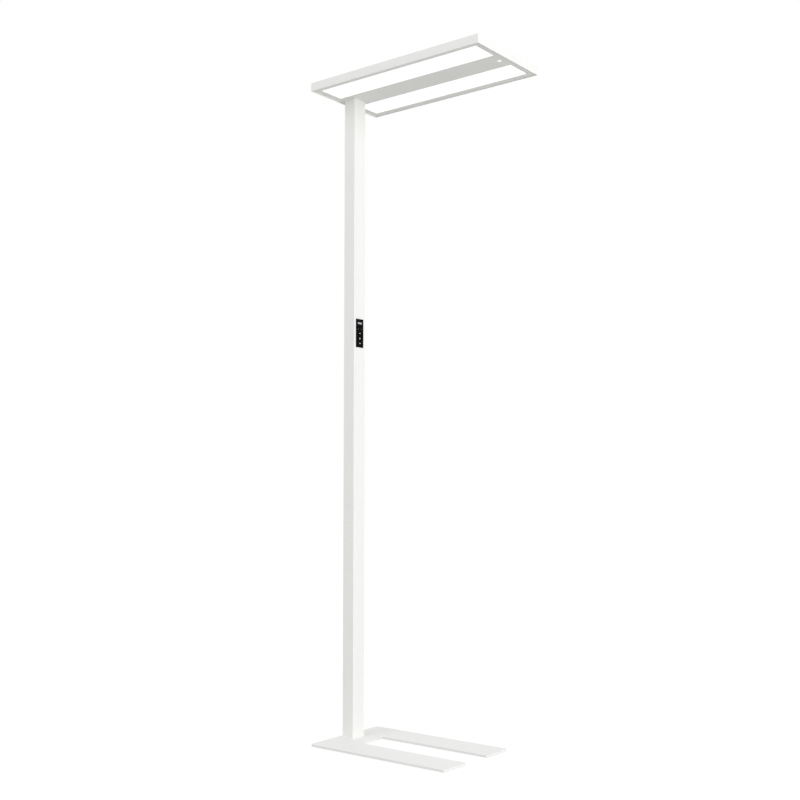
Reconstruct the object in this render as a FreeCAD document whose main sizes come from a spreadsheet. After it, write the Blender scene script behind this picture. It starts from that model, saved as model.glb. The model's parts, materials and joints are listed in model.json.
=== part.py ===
"""Office floor lamp: a U-shaped plate base, a rectangular column with a key panel, and a flat head.

Frame: millimetres, +Z up, origin on the floor under the middle of the head. +X runs from the column
towards the head's free end and along the base's two prongs. Every size is a cell of the sheet, and
every sketch, pad and place is a formula on those cells.
"""
import FreeCAD, Part
import math
import os
import re
import Sketcher

SIZES = (
    ("overall_height", 1940, "floor to the top of the head"),
    ("running_gap", 0.3, "gap between pieces that fit inside one another"),
    ("thread_gap", 0.05, "gap between a screw and its thread"),
    # Base
    ("pad_thickness", 2, "foot pad under the plate"),
    ("pad_radius", 11, "foot pad"),
    ("pad_inset", 20, "pad centre from the plate's edges"),
    ("base_length", 470, "plate, along the prongs"),
    ("base_width", 300, "plate, across the prongs"),
    ("base_thickness", 6, "plate"),
    ("slot_width", 100, "gap between the prongs"),
    ("slot_length", 370, "gap between the prongs"),
    ("base_corner_radius", 3, "plate's corners, seen from above"),
    ("base_setback", 11, "plate's back edge, ahead of the head's rear end"),
    # Column
    ("column_depth", 40, "column, along X"),
    ("column_width", 50, "column, along Y"),
    ("column_wall", 2, "column's wall"),
    ("column_edge_radius", 1, "column's outer edges"),
    ("column_setback", 23, "column's back face, ahead of the head's rear end"),
    ("race_width", 18, "cable race on the column's back wall, between its ribs"),
    ("race_depth", 9, "height of the race's ribs off the back wall"),
    ("race_rib", 1.2, "thickness of the race's ribs"),
    ("block_height", 60, "foot and top blocks inside the column"),
    ("block_shift", 3.5, "middle of the block bolts, ahead of the column's middle"),
    ("block_bolt_x", 22, "pitch of the block bolts along X"),
    ("block_bolt_y", 32, "pitch of the block bolts along Y"),
    ("block_bolt_radius", 3, "shank of the block bolts"),
    ("block_bolt_length", 24, "shank of the block bolts"),
    ("bolt_head_radius", 5, "head of the block bolts"),
    ("bolt_head_height", 3.4, "head of the block bolts"),
    ("cross_screw_radius", 2, "screws through the column's back wall"),
    ("cross_screw_length", 12, "screws through the column's back wall"),
    ("cross_head_radius", 3.6, "head of those screws"),
    ("cross_head_height", 2.2, "head of those screws"),
    ("cross_screw_pitch", 34, "distance of a pair of them along Y"),
    ("cord_inlet_height", 90, "cord inlet above the floor"),
    ("cord_inlet_radius", 6, "hole in the back wall"),
    ("cord_bore_radius", 3.6, "bore of the inlet grommet"),
    ("grommet_flange_radius", 8.5, "flange of the inlet grommet"),
    ("grommet_flange_thickness", 1.5, "flange of the inlet grommet"),
    ("grommet_lip", 1.5, "inlet grommet's sleeve past the column's wall"),
    ("supply_lead_radius", 2.6, "lead from the inlet up to the head"),
    ("control_lead_radius", 1.9, "lead from the keys up to the head"),
    ("lead_spread", 3.2, "middle of each lead from the column's middle plane"),
    ("lead_bend_radius", 10, "largest bend of the leads"),
    ("lead_level", 6, "leads in the head, above the frame's lower ledge"),
    ("supply_lead_start", 3, "lower end of the supply lead, off the column's back wall"),
    ("supply_lead_rise", 14, "lower end of the supply lead, above the inlet"),
    ("supply_lead_turn", 40, "where the supply lead joins the race, above the inlet"),
    ("control_lead_rise", 26, "lower end of the control lead, above the panel's middle"),
    # Key panel
    ("panel_height", 1199, "middle of the key panel above the floor"),
    ("panel_width", 33.4, "key panel's front"),
    ("panel_length", 86, "key panel's front"),
    ("panel_proud", 1.2, "panel's front off the column's face"),
    ("panel_front_thickness", 2.6, "panel's front wall"),
    ("panel_corner_radius", 1.2, "panel's front"),
    ("panel_box_inset", 2, "panel's box, in from the edge of its front"),
    ("panel_box_depth", 15, "panel's box behind the column's face"),
    ("panel_box_wall", 1.2, "panel's box"),
    ("display_width", 24, "display window"),
    ("display_length", 9, "display window"),
    ("display_rise", 30.3, "display window above the panel's middle"),
    ("display_lip", 0.7, "display window's rim behind the front"),
    ("pair_key_width", 10.4, "two keys side by side"),
    ("pair_key_length", 9, "two keys side by side"),
    ("pair_key_pitch", 14.4, "two keys side by side"),
    ("pair_key_rise", 12.6, "two keys side by side, above the panel's middle"),
    ("key_width", 13, "three keys in a column"),
    ("key_length", 10.6, "three keys in a column"),
    ("key_pitch", 15.1, "three keys in a column"),
    ("key_first_drop", 0.5, "upper of the three, below the panel's middle"),
    ("key_corner_radius", 1.8, "all keys"),
    ("key_proud", 0.5, "keys off the panel's front"),
    ("key_travel", 0.5, "keys, inwards"),
    ("key_gap", 0.2, "keys in their holes"),
    ("key_flange", 1, "rim that keeps a key behind the front"),
    ("key_flange_thickness", 1, "rim that keeps a key behind the front"),
    ("key_post_radius", 1.8, "post behind a key"),
    ("key_post_length", 1.6, "post behind a key"),
    ("board_thickness", 1.6, "circuit boards"),
    ("switch_size", 6, "switch under each key"),
    ("switch_height", 1.6, "switch under each key"),
    ("switch_button_radius", 1.5, "switch's button"),
    ("switch_button_height", 1, "switch's button"),
    ("switch_clearance", 0.3, "left between post and switch with the key pressed"),
    ("board_screw_radius", 0.9, "screws of the control board"),
    ("board_screw_length", 5, "screws of the control board"),
    ("board_head_height", 1.4, "heads of those screws"),
    ("board_post_radius", 2, "posts that hold the control board"),
    ("display_module_margin", 1, "display module, in from the window's ends"),
    ("socket_offset", 4.5, "plug socket of the control board, along Y"),
    ("socket_rise", 21, "plug socket, above the panel's middle"),
    ("socket_width", 8, "plug socket"),
    ("socket_length", 7, "plug socket"),
    ("socket_depth", 4, "plug socket"),
    ("cover_slot_rise", 27, "the lead's slot in the back cover, above the panel's middle"),
    ("cover_slot_length", 12, "the lead's slot in the back cover"),
    ("back_cover_thickness", 1.2, "back cover of the key panel"),
    ("back_cover_lip", 2, "height of its lip"),
    ("back_cover_lip_wall", 1, "wall of its lip"),
    # Head
    ("head_length", 600, "head, along X"),
    ("head_width", 304, "head, along Y"),
    ("head_height", 25, "head"),
    ("frame_wall", 1.8, "outer wall of the head's frame"),
    ("rim_drop", 3, "frame's rim below the face sheet"),
    ("sheet_thickness", 1, "face sheet"),
    ("ledge_thickness", 1.5, "ledges of the frame"),
    ("ledge_width", 15, "ledges, from the frame's outer face"),
    ("chamber_width", 9, "corner key's chamber, from the frame's outer face"),
    ("chamber_wall", 1.2, "inner wall of that chamber"),
    ("cover_thickness", 2, "top cover"),
    ("corner_leg", 34, "leg of a corner key"),
    ("window_end_margin", 22, "windows of the face sheet, from the head's ends"),
    ("window_side_margin", 22, "windows of the face sheet, from the head's sides"),
    ("spine_width", 86, "sheet between the two windows"),
    ("diffuser_thickness", 2, "diffusers"),
    ("diffuser_overlap", 6, "diffusers past their windows"),
    ("diffuser_end_overlap", 5, "diffusers past their windows' ends"),
    ("stud_radius", 1.5, "studs of the face sheet"),
    ("stud_length", 7, "studs of the face sheet"),
    ("stud_side_inset", 70, "studs on the long sides, from the head's ends"),
    ("stud_end_pitch", 180, "studs on the short sides"),
    ("nut_across", 5, "nuts on those studs"),
    ("nut_height", 2.4, "nuts on those studs"),
    ("tray_thickness", 0.8, "reflector trays"),
    ("tray_height", 10.4, "reflector trays"),
    ("tray_slope", 9, "run of a tray's slanted walls"),
    ("tray_flange", 5, "flanges of the trays"),
    ("tray_end_gap", 2, "trays, in from the windows' ends"),
    ("strip_width", 14, "light strips under the trays"),
    ("strip_pitch", 34, "pair of light strips in a tray"),
    ("strip_thickness", 1.4, "light strips"),
    ("strip_end_gap", 6, "light strips, in from the windows' ends"),
    ("emitter_size", 3, "light emitters on the strips"),
    ("emitter_height", 0.7, "light emitters on the strips"),
    ("emitter_pitch", 24, "light emitters on the strips"),
    ("up_strip_width", 20, "light strips on top of the trays"),
    ("up_window_end_margin", 40, "windows of the top cover, from the head's ends"),
    ("up_window_width", 60, "windows of the top cover"),
    ("lens_thickness", 1.5, "lenses under the top cover"),
    ("lens_overlap", 6, "lenses past their windows"),
    ("channel_width", 66, "channel along the head's middle"),
    ("channel_wall", 2, "channel along the head's middle"),
    ("channel_height", 16.5, "channel along the head's middle"),
    ("wire_hole_radius", 8, "hole for the leads above the column"),
    ("driver_width", 42, "drivers"),
    ("driver_height", 14, "drivers"),
    ("driver_ear", 12, "screw ears of a driver"),
    ("driver_ear_thickness", 1.5, "screw ears of a driver"),
    ("driver_gap", 24, "between the two drivers"),
    ("driver_start", 120, "first driver from the head's rear end"),
    ("driver_end_gap", 34.8, "between the second driver and the sensor's housing"),
    ("driver_screw_radius", 1.6, "screws of the drivers"),
    ("driver_screw_length", 3.2, "screws of the drivers"),
    ("small_head_radius", 2.9, "heads of the small screws"),
    ("small_head_height", 1.6, "heads of the small screws"),
    ("terminal_length", 24, "terminal block"),
    ("terminal_width", 36, "terminal block"),
    ("terminal_height", 12, "terminal block"),
    ("terminal_start", 74, "terminal block from the head's rear end"),
    ("terminal_port_radius", 2, "wire ports of the terminal block"),
    ("cover_screw_radius", 1.25, "screws of the top cover"),
    ("cover_screw_length", 10, "screws of the top cover"),
    ("cover_head_radius", 2.2, "sunk heads of the top cover's screws"),
    ("cover_head_height", 1.1, "sunk heads of the top cover's screws"),
    ("sensor_inset", 31.2, "sensor from the head's free end"),
    ("sensor_hole_radius", 6, "sensor's hole in the face sheet"),
    ("sensor_lens_radius", 5, "sensor's lens"),
    ("sensor_lens_drop", 2, "sensor's lens below the face sheet"),
    ("sensor_body_radius", 10, "sensor's housing"),
    ("sensor_body_height", 11, "sensor's housing"),
    ("sensor_roof", 1.5, "roof of the sensor's housing"),
    ("sensor_eye_height", 2.5, "sensor's eye under its board"),
    ("sensor_collar", 2, "sensor's lens above the face sheet"),
)

# Places that several pieces share, as formulas on the sheet's cells.
PLACES = {
    "base_top": "pad_thickness + base_thickness",
    "base_back": "base_setback - head_length / 2",
    "base_front": "base_back + base_length",
    "column_back": "column_setback - head_length / 2",
    "column_front": "column_back + column_depth",
    "column_middle": "column_back + column_depth / 2",
    "hollow_back": "column_back + column_wall",
    "hollow_front": "column_front - column_wall",
    "hollow_side": "column_width / 2 - column_wall",
    "head_bottom": "overall_height - head_height",
    "face_level": "head_bottom + rim_drop",
    "sheet_top": "face_level + sheet_thickness",
    "ledge_top": "sheet_top + ledge_thickness",
    "cover_level": "overall_height - cover_thickness",
    "upper_ledge": "cover_level - ledge_thickness",
    "diffuser_top": "sheet_top + diffuser_thickness",
    "window_length": "head_length - 2 * window_end_margin",
    "window_outer": "head_width / 2 - window_side_margin",
    "window_inner": "spine_width / 2",
    "up_window_length": "head_length - 2 * up_window_end_margin",
    "window_middle": "(window_outer + window_inner) / 2",
    "tray_base": "diffuser_top + tray_height",
    "tray_outer": "window_outer + diffuser_overlap",
    "tray_inner": "window_inner - diffuser_overlap",
    "channel_floor": "sheet_top + channel_wall",
    "block_middle": "column_middle + block_shift",
    "panel_face": "column_front + panel_proud",
    "panel_back": "panel_face - panel_front_thickness",
    "box_end": "column_front - panel_box_depth",
    "box_half_width": "panel_width / 2 - panel_box_inset",
    "box_half_length": "panel_length / 2 - panel_box_inset",
    "key_back": "panel_back - running_gap - key_flange_thickness",
    "switch_tip": "key_back - key_post_length - key_travel - switch_clearance",
    "board_front": "switch_tip - switch_button_height - switch_height",
    "board_back": "board_front - board_thickness",
    "sensor_x": "head_length / 2 - sensor_inset",
    "driver_room": "sensor_x - sensor_body_radius - driver_end_gap + head_length / 2 - driver_start",
    "driver_length": "(driver_room - driver_gap) / 2",
    "terminal_back": "terminal_start - head_length / 2",
    "eye_level": "sheet_top + sensor_body_height - sensor_roof",
    "inner_length": "head_length - 2 * frame_wall - 2 * running_gap",
    "inner_width": "head_width - 2 * frame_wall - 2 * running_gap",
}

doc = FreeCAD.newDocument("OfficeFloorLamp")
sheet = doc.addObject("Spreadsheet::Sheet", "Sizes")
for row, (alias, size, note) in enumerate(SIZES, start=1):
    sheet.set(f"A{row}", alias)
    sheet.set(f"B{row}", str(size))
    sheet.setAlias(f"B{row}", alias)
    sheet.set(f"C{row}", note)
doc.recompute()

ALIASES = {alias for alias, _, _ in SIZES}
FASTENER_SIDES = 8
LEAD_SIDES = 10
SUBPARTS = []


def formula(text):
    """The same formula with each place written out and each alias read from the sheet."""
    def expand(match):
        word = match.group(0)
        if word in PLACES:
            return "(" + formula(PLACES[word]) + ")"
        return "Sizes." + word if word in ALIASES else word
    return re.sub(r"[a-z_]+", expand, str(text))


def amount(text):
    """What a formula comes to now, in millimetres."""
    return float(sheet.evalExpression(formula(text)))


def body(label):
    """A new sub-part, whose label names its file."""
    part = doc.addObject("PartDesign::Body", label)
    part.Label = label
    part.AllowCompound = True
    SUBPARTS.append(part)
    return part


def sketch(part, plane, level="0"):
    """A sketch on one of the body's own planes, moved along the plane's normal to a level."""
    drawing = part.newObject("Sketcher::SketchObject", part.Label + "_sketch")
    support = [entry for entry in part.Origin.OriginFeatures if entry.Role == plane][0]
    drawing.AttachmentSupport = [(support, "")]
    drawing.MapMode = "FlatFace"
    sign = "-1 * " if plane == "XZ_Plane" else ""
    drawing.setExpression("AttachmentOffset.Base.z", formula(f"{sign}({level})"))
    return drawing


def tie(drawing, dimensions, joints=()):
    """Driven dimensions of a sketch as (kind, what it holds, formula), with joints before them."""
    first = drawing.ConstraintCount + len(joints)
    held = [Sketcher.Constraint(kind, *target, amount(text)) for kind, target, text in dimensions]
    drawing.addConstraint(list(joints) + held)
    for number, (_, _, text) in enumerate(dimensions, start=first):
        drawing.setExpression(f"Constraints[{number}]", formula(text))


def outline(drawing, points):
    """A closed chain of lines through points, each point tied to the sketch's origin."""
    spots = [FreeCAD.Vector(amount(u), amount(v), 0) for u, v in points]
    ends = spots[1:] + spots[:1]
    lines = drawing.addGeometry([Part.LineSegment(*pair) for pair in zip(spots, ends)], False)
    joints = [Sketcher.Constraint("Coincident", line, 2, following, 1)
              for line, following in zip(lines, lines[1:] + lines[:1])]
    dimensions = []
    for line, (u, v) in zip(lines, points):
        dimensions.append(("DistanceX", (-1, 1, line, 1), u))
        dimensions.append(("DistanceY", (-1, 1, line, 1), v))
    tie(drawing, dimensions, joints)


def rectangle(drawing, low_u, low_v, high_u, high_v):
    """A closed rectangle between two corners."""
    outline(drawing, [(low_u, low_v), (high_u, low_v), (high_u, high_v), (low_u, high_v)])


def centred(drawing, u, v, width, length):
    """A closed rectangle about a point."""
    rectangle(drawing, f"{u} - ({width}) / 2", f"{v} - ({length}) / 2",
              f"{u} + ({width}) / 2", f"{v} + ({length}) / 2")


def circle(drawing, u, v, radius):
    """A circle whose centre and radius are tied."""
    centre = FreeCAD.Vector(amount(u), amount(v), 0)
    number = drawing.addGeometry(Part.Circle(centre, FreeCAD.Vector(0, 0, 1), amount(radius)), False)
    tie(drawing, [("DistanceX", (-1, 1, number, 3), u), ("DistanceY", (-1, 1, number, 3), v),
                  ("Radius", (number,), radius)])


def polygon(drawing, u, v, radius, sides):
    """A regular polygon about a point, by the radius of its corners."""
    points = []
    for number in range(sides):
        angle = number * 360 / sides
        points.append((f"{u} + ({radius}) * cos({angle})", f"{v} + ({radius}) * sin({angle})"))
    outline(drawing, points)


def hexagon(drawing, u, v, across):
    """A hexagon about a point, by its width across flats."""
    polygon(drawing, u, v, f"({across}) / 2 / cos(30)", 6)


def bore(drawing, u, v, radius):
    """A fastener's round shape or its hole, with few sides because it repeats often."""
    polygon(drawing, u, v, radius, FASTENER_SIDES)


def pad(part, drawing, length, back=False, both=False):
    """Material from a sketch along its plane's normal, against it, or half to each side."""
    feature = part.newObject("PartDesign::Pad", part.Label + "_pad")
    feature.Profile = drawing
    feature.Midplane = both
    feature.Reversed = back
    feature.setExpression("Length", formula(length))
    part.Tip = feature
    doc.recompute()
    return feature


def pocket(part, drawing, depth, up=False, both=False):
    """Material cut away from a sketch against its plane's normal, along it, or half to each side."""
    before = part.Shape.Volume
    feature = part.newObject("PartDesign::Pocket", part.Label + "_pocket")
    feature.Profile = drawing
    feature.Midplane = both
    feature.Reversed = up
    feature.setExpression("Length", formula(depth))
    part.Tip = feature
    doc.recompute()
    if part.Shape.Volume >= before:
        raise ValueError(feature.Label + " cuts nothing")
    return feature


def edges_at(shape, test):
    """Names of the edges whose middle point passes a test."""
    names = []
    for number, edge in enumerate(shape.Edges, start=1):
        middle = edge.valueAt((edge.FirstParameter + edge.LastParameter) / 2)
        if test(edge, middle):
            names.append(f"Edge{number}")
    return names


def upright(edge):
    """Whether an edge is a straight one along Z."""
    if not isinstance(edge.Curve, Part.Line):
        return False
    return abs(edge.Curve.Direction.z) > 0.99


def along_x(edge):
    """Whether an edge is a straight one along X."""
    if not isinstance(edge.Curve, Part.Line):
        return False
    return abs(edge.Curve.Direction.x) > 0.99


def fillet(part, base, names, radius):
    """Rounded edges of the last feature."""
    feature = part.newObject("PartDesign::Fillet", part.Label + "_fillet")
    feature.Base = (base, names)
    feature.setExpression("Radius", formula(radius))
    part.Tip = feature
    doc.recompute()
    return feature


def screws(label, plane, spots, seat, shank, length, head, height, tip_down=True, socket=True):
    """A group of cap screws: shanks one way from the seat, heads the other way."""
    part = body(label)
    shanks = sketch(part, plane, seat)
    heads = sketch(part, plane, seat)
    for u, v in spots:
        bore(shanks, u, v, shank)
        bore(heads, u, v, head)
    pad(part, heads, height, back=not tip_down)
    pad(part, shanks, length, back=tip_down)
    if not socket:
        return
    turn = "+" if tip_down else "-"
    sockets = sketch(part, plane, f"{seat} {turn} ({height}) / 2")
    for u, v in spots:
        hexagon(sockets, u, v, head)
    pocket(part, sockets, height, up=tip_down)


# ---------------------------------------------------------------- base

PAD_SPOTS = [
    ("base_back + pad_inset", "base_width / 2 - pad_inset"),
    ("base_back + pad_inset", "pad_inset - base_width / 2"),
    ("base_front - slot_length / 2", "base_width / 2 - pad_inset"),
    ("base_front - slot_length / 2", "pad_inset - base_width / 2"),
    ("base_front - pad_inset", "base_width / 2 - pad_inset"),
    ("base_front - pad_inset", "pad_inset - base_width / 2"),
]


def block_bolt_spots():
    """The four bolts that hold a block, about the middle of the block."""
    spots = []
    for x_sign in "-+":
        for y_sign in "-+":
            spots.append((f"block_middle {x_sign} block_bolt_x / 2", f"0 {y_sign} block_bolt_y / 2"))
    return spots


def make_base():
    """The U-shaped plate, its foot pads and the bolts up into the column."""
    plate = body("base_plate")
    drawing = sketch(plate, "XY_Plane", "pad_thickness")
    half = "base_width / 2"
    gap = "slot_width / 2"
    throat = "base_front - slot_length"
    outline(drawing, [
        ("base_back", f"-{half}"), ("base_front", f"-{half}"), ("base_front", f"-{gap}"),
        (throat, f"-{gap}"), (throat, gap), ("base_front", gap), ("base_front", half),
        ("base_back", half),
    ])
    slab = pad(plate, drawing, "base_thickness")
    corners = edges_at(slab.Shape, lambda edge, middle: upright(edge))
    fillet(plate, slab, corners, "base_corner_radius")
    shanks = sketch(plate, "XY_Plane", "pad_thickness")
    heads = sketch(plate, "XY_Plane", "pad_thickness")
    for u, v in block_bolt_spots():
        bore(shanks, u, v, "block_bolt_radius + running_gap")
        bore(heads, u, v, "bolt_head_radius + running_gap")
    pocket(plate, shanks, "base_thickness", up=True)
    pocket(plate, heads, "bolt_head_height + running_gap", up=True)

    pads = body("foot_pads")
    drawing = sketch(pads, "XY_Plane")
    for u, v in PAD_SPOTS:
        circle(drawing, u, v, "pad_radius")
    pad(pads, drawing, "pad_thickness")

    screws("base_bolts", "XY_Plane", block_bolt_spots(),
           "pad_thickness + bolt_head_height + running_gap", "block_bolt_radius",
           "block_bolt_length", "bolt_head_radius", "bolt_head_height", tip_down=False)


# ---------------------------------------------------------------- column

CROSS_LOW = "base_top + block_height / 2"
CROSS_HIGH = "face_level - block_height / 2"


def cross_spots(height):
    """A pair of screws through the column's back wall at one height."""
    return [("0 - cross_screw_pitch / 2", height), ("cross_screw_pitch / 2", height)]


def make_column():
    """The extruded column with its cable race, panel window and holes in the back wall."""
    column = body("column")
    drawing = sketch(column, "XY_Plane", "base_top")
    half = "column_width / 2"
    rectangle(drawing, "column_back", f"-{half}", "column_front", half)
    rib_out = "(race_width / 2 + race_rib)"
    rib_in = "(race_width / 2)"
    rib_end = "hollow_back + race_depth"
    outline(drawing, [
        ("hollow_back", "-hollow_side"), ("hollow_front", "-hollow_side"),
        ("hollow_front", "hollow_side"), ("hollow_back", "hollow_side"),
        ("hollow_back", rib_out), (rib_end, rib_out), (rib_end, rib_in), ("hollow_back", rib_in),
        ("hollow_back", f"-{rib_in}"), (rib_end, f"-{rib_in}"), (rib_end, f"-{rib_out}"),
        ("hollow_back", f"-{rib_out}"),
    ])
    tube = pad(column, drawing, "face_level - base_top")
    reach = amount("column_width / 2") - 0.01
    ends = (amount("column_back") + 0.01, amount("column_front") - 0.01)
    outer = edges_at(tube.Shape, lambda edge, middle: upright(edge) and abs(middle.y) > reach
                     and not ends[0] < middle.x < ends[1])
    fillet(column, tube, outer, "column_edge_radius")
    window = sketch(column, "YZ_Plane", "column_front")
    centred(window, "0", "panel_height", "2 * box_half_width + 2 * running_gap",
            "2 * box_half_length + 2 * running_gap")
    pocket(column, window, "column_wall")
    holes = sketch(column, "YZ_Plane", "column_back")
    circle(holes, "0", "cord_inlet_height", "cord_inlet_radius")
    for u, v in cross_spots(CROSS_LOW) + cross_spots(CROSS_HIGH):
        bore(holes, u, v, "cross_screw_radius + running_gap")
    pocket(column, holes, "column_wall", up=True)


def make_block(label, low, bolts_from_below):
    """A block that fills the column's end and leaves the cable race free."""
    block = body(label)
    drawing = sketch(block, "XY_Plane", low)
    side = "(hollow_side - running_gap)"
    notch = "(race_width / 2 + race_rib + running_gap)"
    back = "hollow_back + running_gap"
    clear = "hollow_back + race_depth + running_gap"
    front = "hollow_front - running_gap"
    outline(drawing, [
        (back, f"-{side}"), (front, f"-{side}"), (front, side), (back, side),
        (back, notch), (clear, notch), (clear, f"-{notch}"), (back, f"-{notch}"),
    ])
    pad(block, drawing, "block_height")
    threads = sketch(block, "XY_Plane", low if bolts_from_below else f"{low} + block_height")
    for u, v in block_bolt_spots():
        bore(threads, u, v, "block_bolt_radius + thread_gap")
    pocket(block, threads, "block_bolt_length", up=bolts_from_below)
    taps = sketch(block, "YZ_Plane", back)
    for u, v in cross_spots(f"{low} + block_height / 2"):
        bore(taps, u, v, "cross_screw_radius + thread_gap")
    pocket(block, taps, "cross_screw_length", up=True)


def make_column_fittings():
    """Blocks in both ends, screws through the back wall, and the cord inlet's grommet."""
    make_block("foot_block", "base_top", True)
    make_block("top_block", "face_level - block_height", False)
    for label, height in (("foot_block_screws", CROSS_LOW), ("top_block_screws", CROSS_HIGH)):
        screws(label, "YZ_Plane", cross_spots(height), "column_back", "cross_screw_radius",
               "cross_screw_length", "cross_head_radius", "cross_head_height", tip_down=False)
    grommet = body("cord_inlet_grommet")
    flange = sketch(grommet, "YZ_Plane", "column_back")
    circle(flange, "0", "cord_inlet_height", "grommet_flange_radius")
    pad(grommet, flange, "grommet_flange_thickness", back=True)
    sleeve = sketch(grommet, "YZ_Plane", "column_back")
    circle(sleeve, "0", "cord_inlet_height", "cord_inlet_radius - running_gap / 3")
    pad(grommet, sleeve, "column_wall + grommet_lip")
    channel = sketch(grommet, "YZ_Plane", "column_back - grommet_flange_thickness")
    circle(channel, "0", "cord_inlet_height", "cord_bore_radius")
    pocket(grommet, channel, "grommet_flange_thickness + column_wall + grommet_lip", up=True)


def lead(label, radius, points):
    """A round lead through points: straight runs joined by tangent arcs that fit the runs."""
    spots = [FreeCAD.Vector(*(amount(text) for text in point)) for point in points]
    edges = []
    start = spots[0]
    for before, corner, after in zip(spots, spots[1:], spots[2:]):
        into = (corner - before).normalize()
        out = (after - corner).normalize()
        turn = into.getAngle(out)
        room = 0.45 * min((corner - before).Length, (after - corner).Length)
        trim = min(room, amount("lead_bend_radius") * math.tan(turn / 2))
        bend = trim / math.tan(turn / 2)
        first = corner - into * trim
        last = corner + out * trim
        towards = (out - into).normalize()
        centre = corner + towards * (bend / math.cos(turn / 2))
        middle = centre - towards * bend
        edges.append(Part.LineSegment(start, first).toShape())
        edges.append(Part.Arc(first, middle, last).toShape())
        start = last
    edges.append(Part.LineSegment(start, spots[-1]).toShape())
    path = Part.Wire(edges)
    ring = Part.Circle(spots[0], spots[1] - spots[0], amount(radius)).discretize(LEAD_SIDES + 1)
    feature = doc.addObject("Part::Feature", label)
    feature.Label = label
    feature.Shape = path.makePipeShell([Part.makePolygon(ring)], True, False)
    SUBPARTS.append(feature)


def make_leads():
    """The supply lead in the cable race, and the lead from the key panel beside it."""
    race = "hollow_back + race_depth - supply_lead_radius"
    lead("supply_lead", "supply_lead_radius", [
        ("hollow_back + supply_lead_start", "-lead_spread", "cord_inlet_height + supply_lead_rise"),
        (race, "-lead_spread", "cord_inlet_height + supply_lead_turn"),
        (race, "-lead_spread", "ledge_top + lead_level"),
        ("terminal_back - running_gap", "-lead_spread", "ledge_top + lead_level"),
    ])
    beside = "hollow_back + race_depth - control_lead_radius"
    lead("control_lead", "control_lead_radius", [
        (beside, "lead_spread", "panel_height + control_lead_rise"),
        (beside, "lead_spread", "ledge_top + lead_level"),
        ("terminal_back - running_gap", "lead_spread", "ledge_top + lead_level"),
    ])


# ---------------------------------------------------------------- key panel

KEYS = {
    "key_left": ("0 - pair_key_pitch / 2", "panel_height + pair_key_rise",
                 "pair_key_width", "pair_key_length"),
    "key_right": ("pair_key_pitch / 2", "panel_height + pair_key_rise",
                  "pair_key_width", "pair_key_length"),
    "key_up": ("0", "panel_height - key_first_drop", "key_width", "key_length"),
    "key_power": ("0", "panel_height - key_first_drop - key_pitch", "key_width", "key_length"),
    "key_down": ("0", "panel_height - key_first_drop - 2 * key_pitch", "key_width", "key_length"),
}

BOARD_POSTS = [
    (f"{y_sign}(box_half_width - panel_box_wall - board_post_radius)",
     f"panel_height {z_sign} (box_half_length - panel_box_wall - board_post_radius)")
    for y_sign in ("-", "") for z_sign in "-+"
]


def side_edges(shape, low, high):
    """Names of the edges along X between two X levels, where a piece turns a corner."""
    return edges_at(shape, lambda edge, middle: along_x(edge) and low < middle.x < high)


def make_panel_housing():
    """The moulded front with its box, key holes, display opening and board posts."""
    housing = body("panel_housing")
    front = sketch(housing, "YZ_Plane", "panel_face")
    centred(front, "0", "panel_height", "panel_width", "panel_length")
    face = pad(housing, front, "panel_proud", back=True)
    fillet(housing, face, side_edges(face.Shape, amount("column_front"), amount("panel_face")),
           "panel_corner_radius")
    box = sketch(housing, "YZ_Plane", "column_front")
    centred(box, "0", "panel_height", "2 * box_half_width", "2 * box_half_length")
    pad(housing, box, "panel_box_depth", back=True)
    hollow = sketch(housing, "YZ_Plane", "panel_back")
    centred(hollow, "0", "panel_height", "2 * box_half_width - 2 * panel_box_wall",
            "2 * box_half_length - 2 * panel_box_wall")
    pocket(housing, hollow, "panel_back - box_end")
    posts = sketch(housing, "YZ_Plane", "panel_back")
    for u, v in BOARD_POSTS:
        bore(posts, u, v, "board_post_radius")
    pad(housing, posts, "panel_back - board_front", back=True)
    taps = sketch(housing, "YZ_Plane", "board_front")
    for u, v in BOARD_POSTS:
        bore(taps, u, v, "board_screw_radius + thread_gap")
    pocket(housing, taps, "board_screw_length - board_thickness + running_gap", up=True)
    holes = sketch(housing, "YZ_Plane", "panel_face")
    for u, v, width, length in KEYS.values():
        centred(holes, u, v, f"{width} + 2 * key_gap", f"{length} + 2 * key_gap")
    centred(holes, "0", "panel_height + display_rise", "display_width + 2 * key_gap",
            "display_length + 2 * key_gap")
    pocket(housing, holes, "panel_front_thickness")


def make_keys():
    """Five keys: a rounded cap in its hole, a rim behind the front and a post for the switch."""
    for label, (u, v, width, length) in KEYS.items():
        key = body(label)
        cap = sketch(key, "YZ_Plane", "panel_face + key_proud")
        centred(cap, u, v, width, length)
        stem = pad(key, cap, "key_proud + panel_front_thickness + running_gap", back=True)
        fillet(key, stem, side_edges(stem.Shape, amount("panel_back"), amount("panel_face")),
               "key_corner_radius")
        rim = sketch(key, "YZ_Plane", "panel_back - running_gap")
        centred(rim, u, v, f"{width} + 2 * key_flange", f"{length} + 2 * key_flange")
        pad(key, rim, "key_flange_thickness", back=True)
        post = sketch(key, "YZ_Plane", "key_back")
        bore(post, u, v, "key_post_radius")
        pad(key, post, "key_post_length", back=True)


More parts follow.
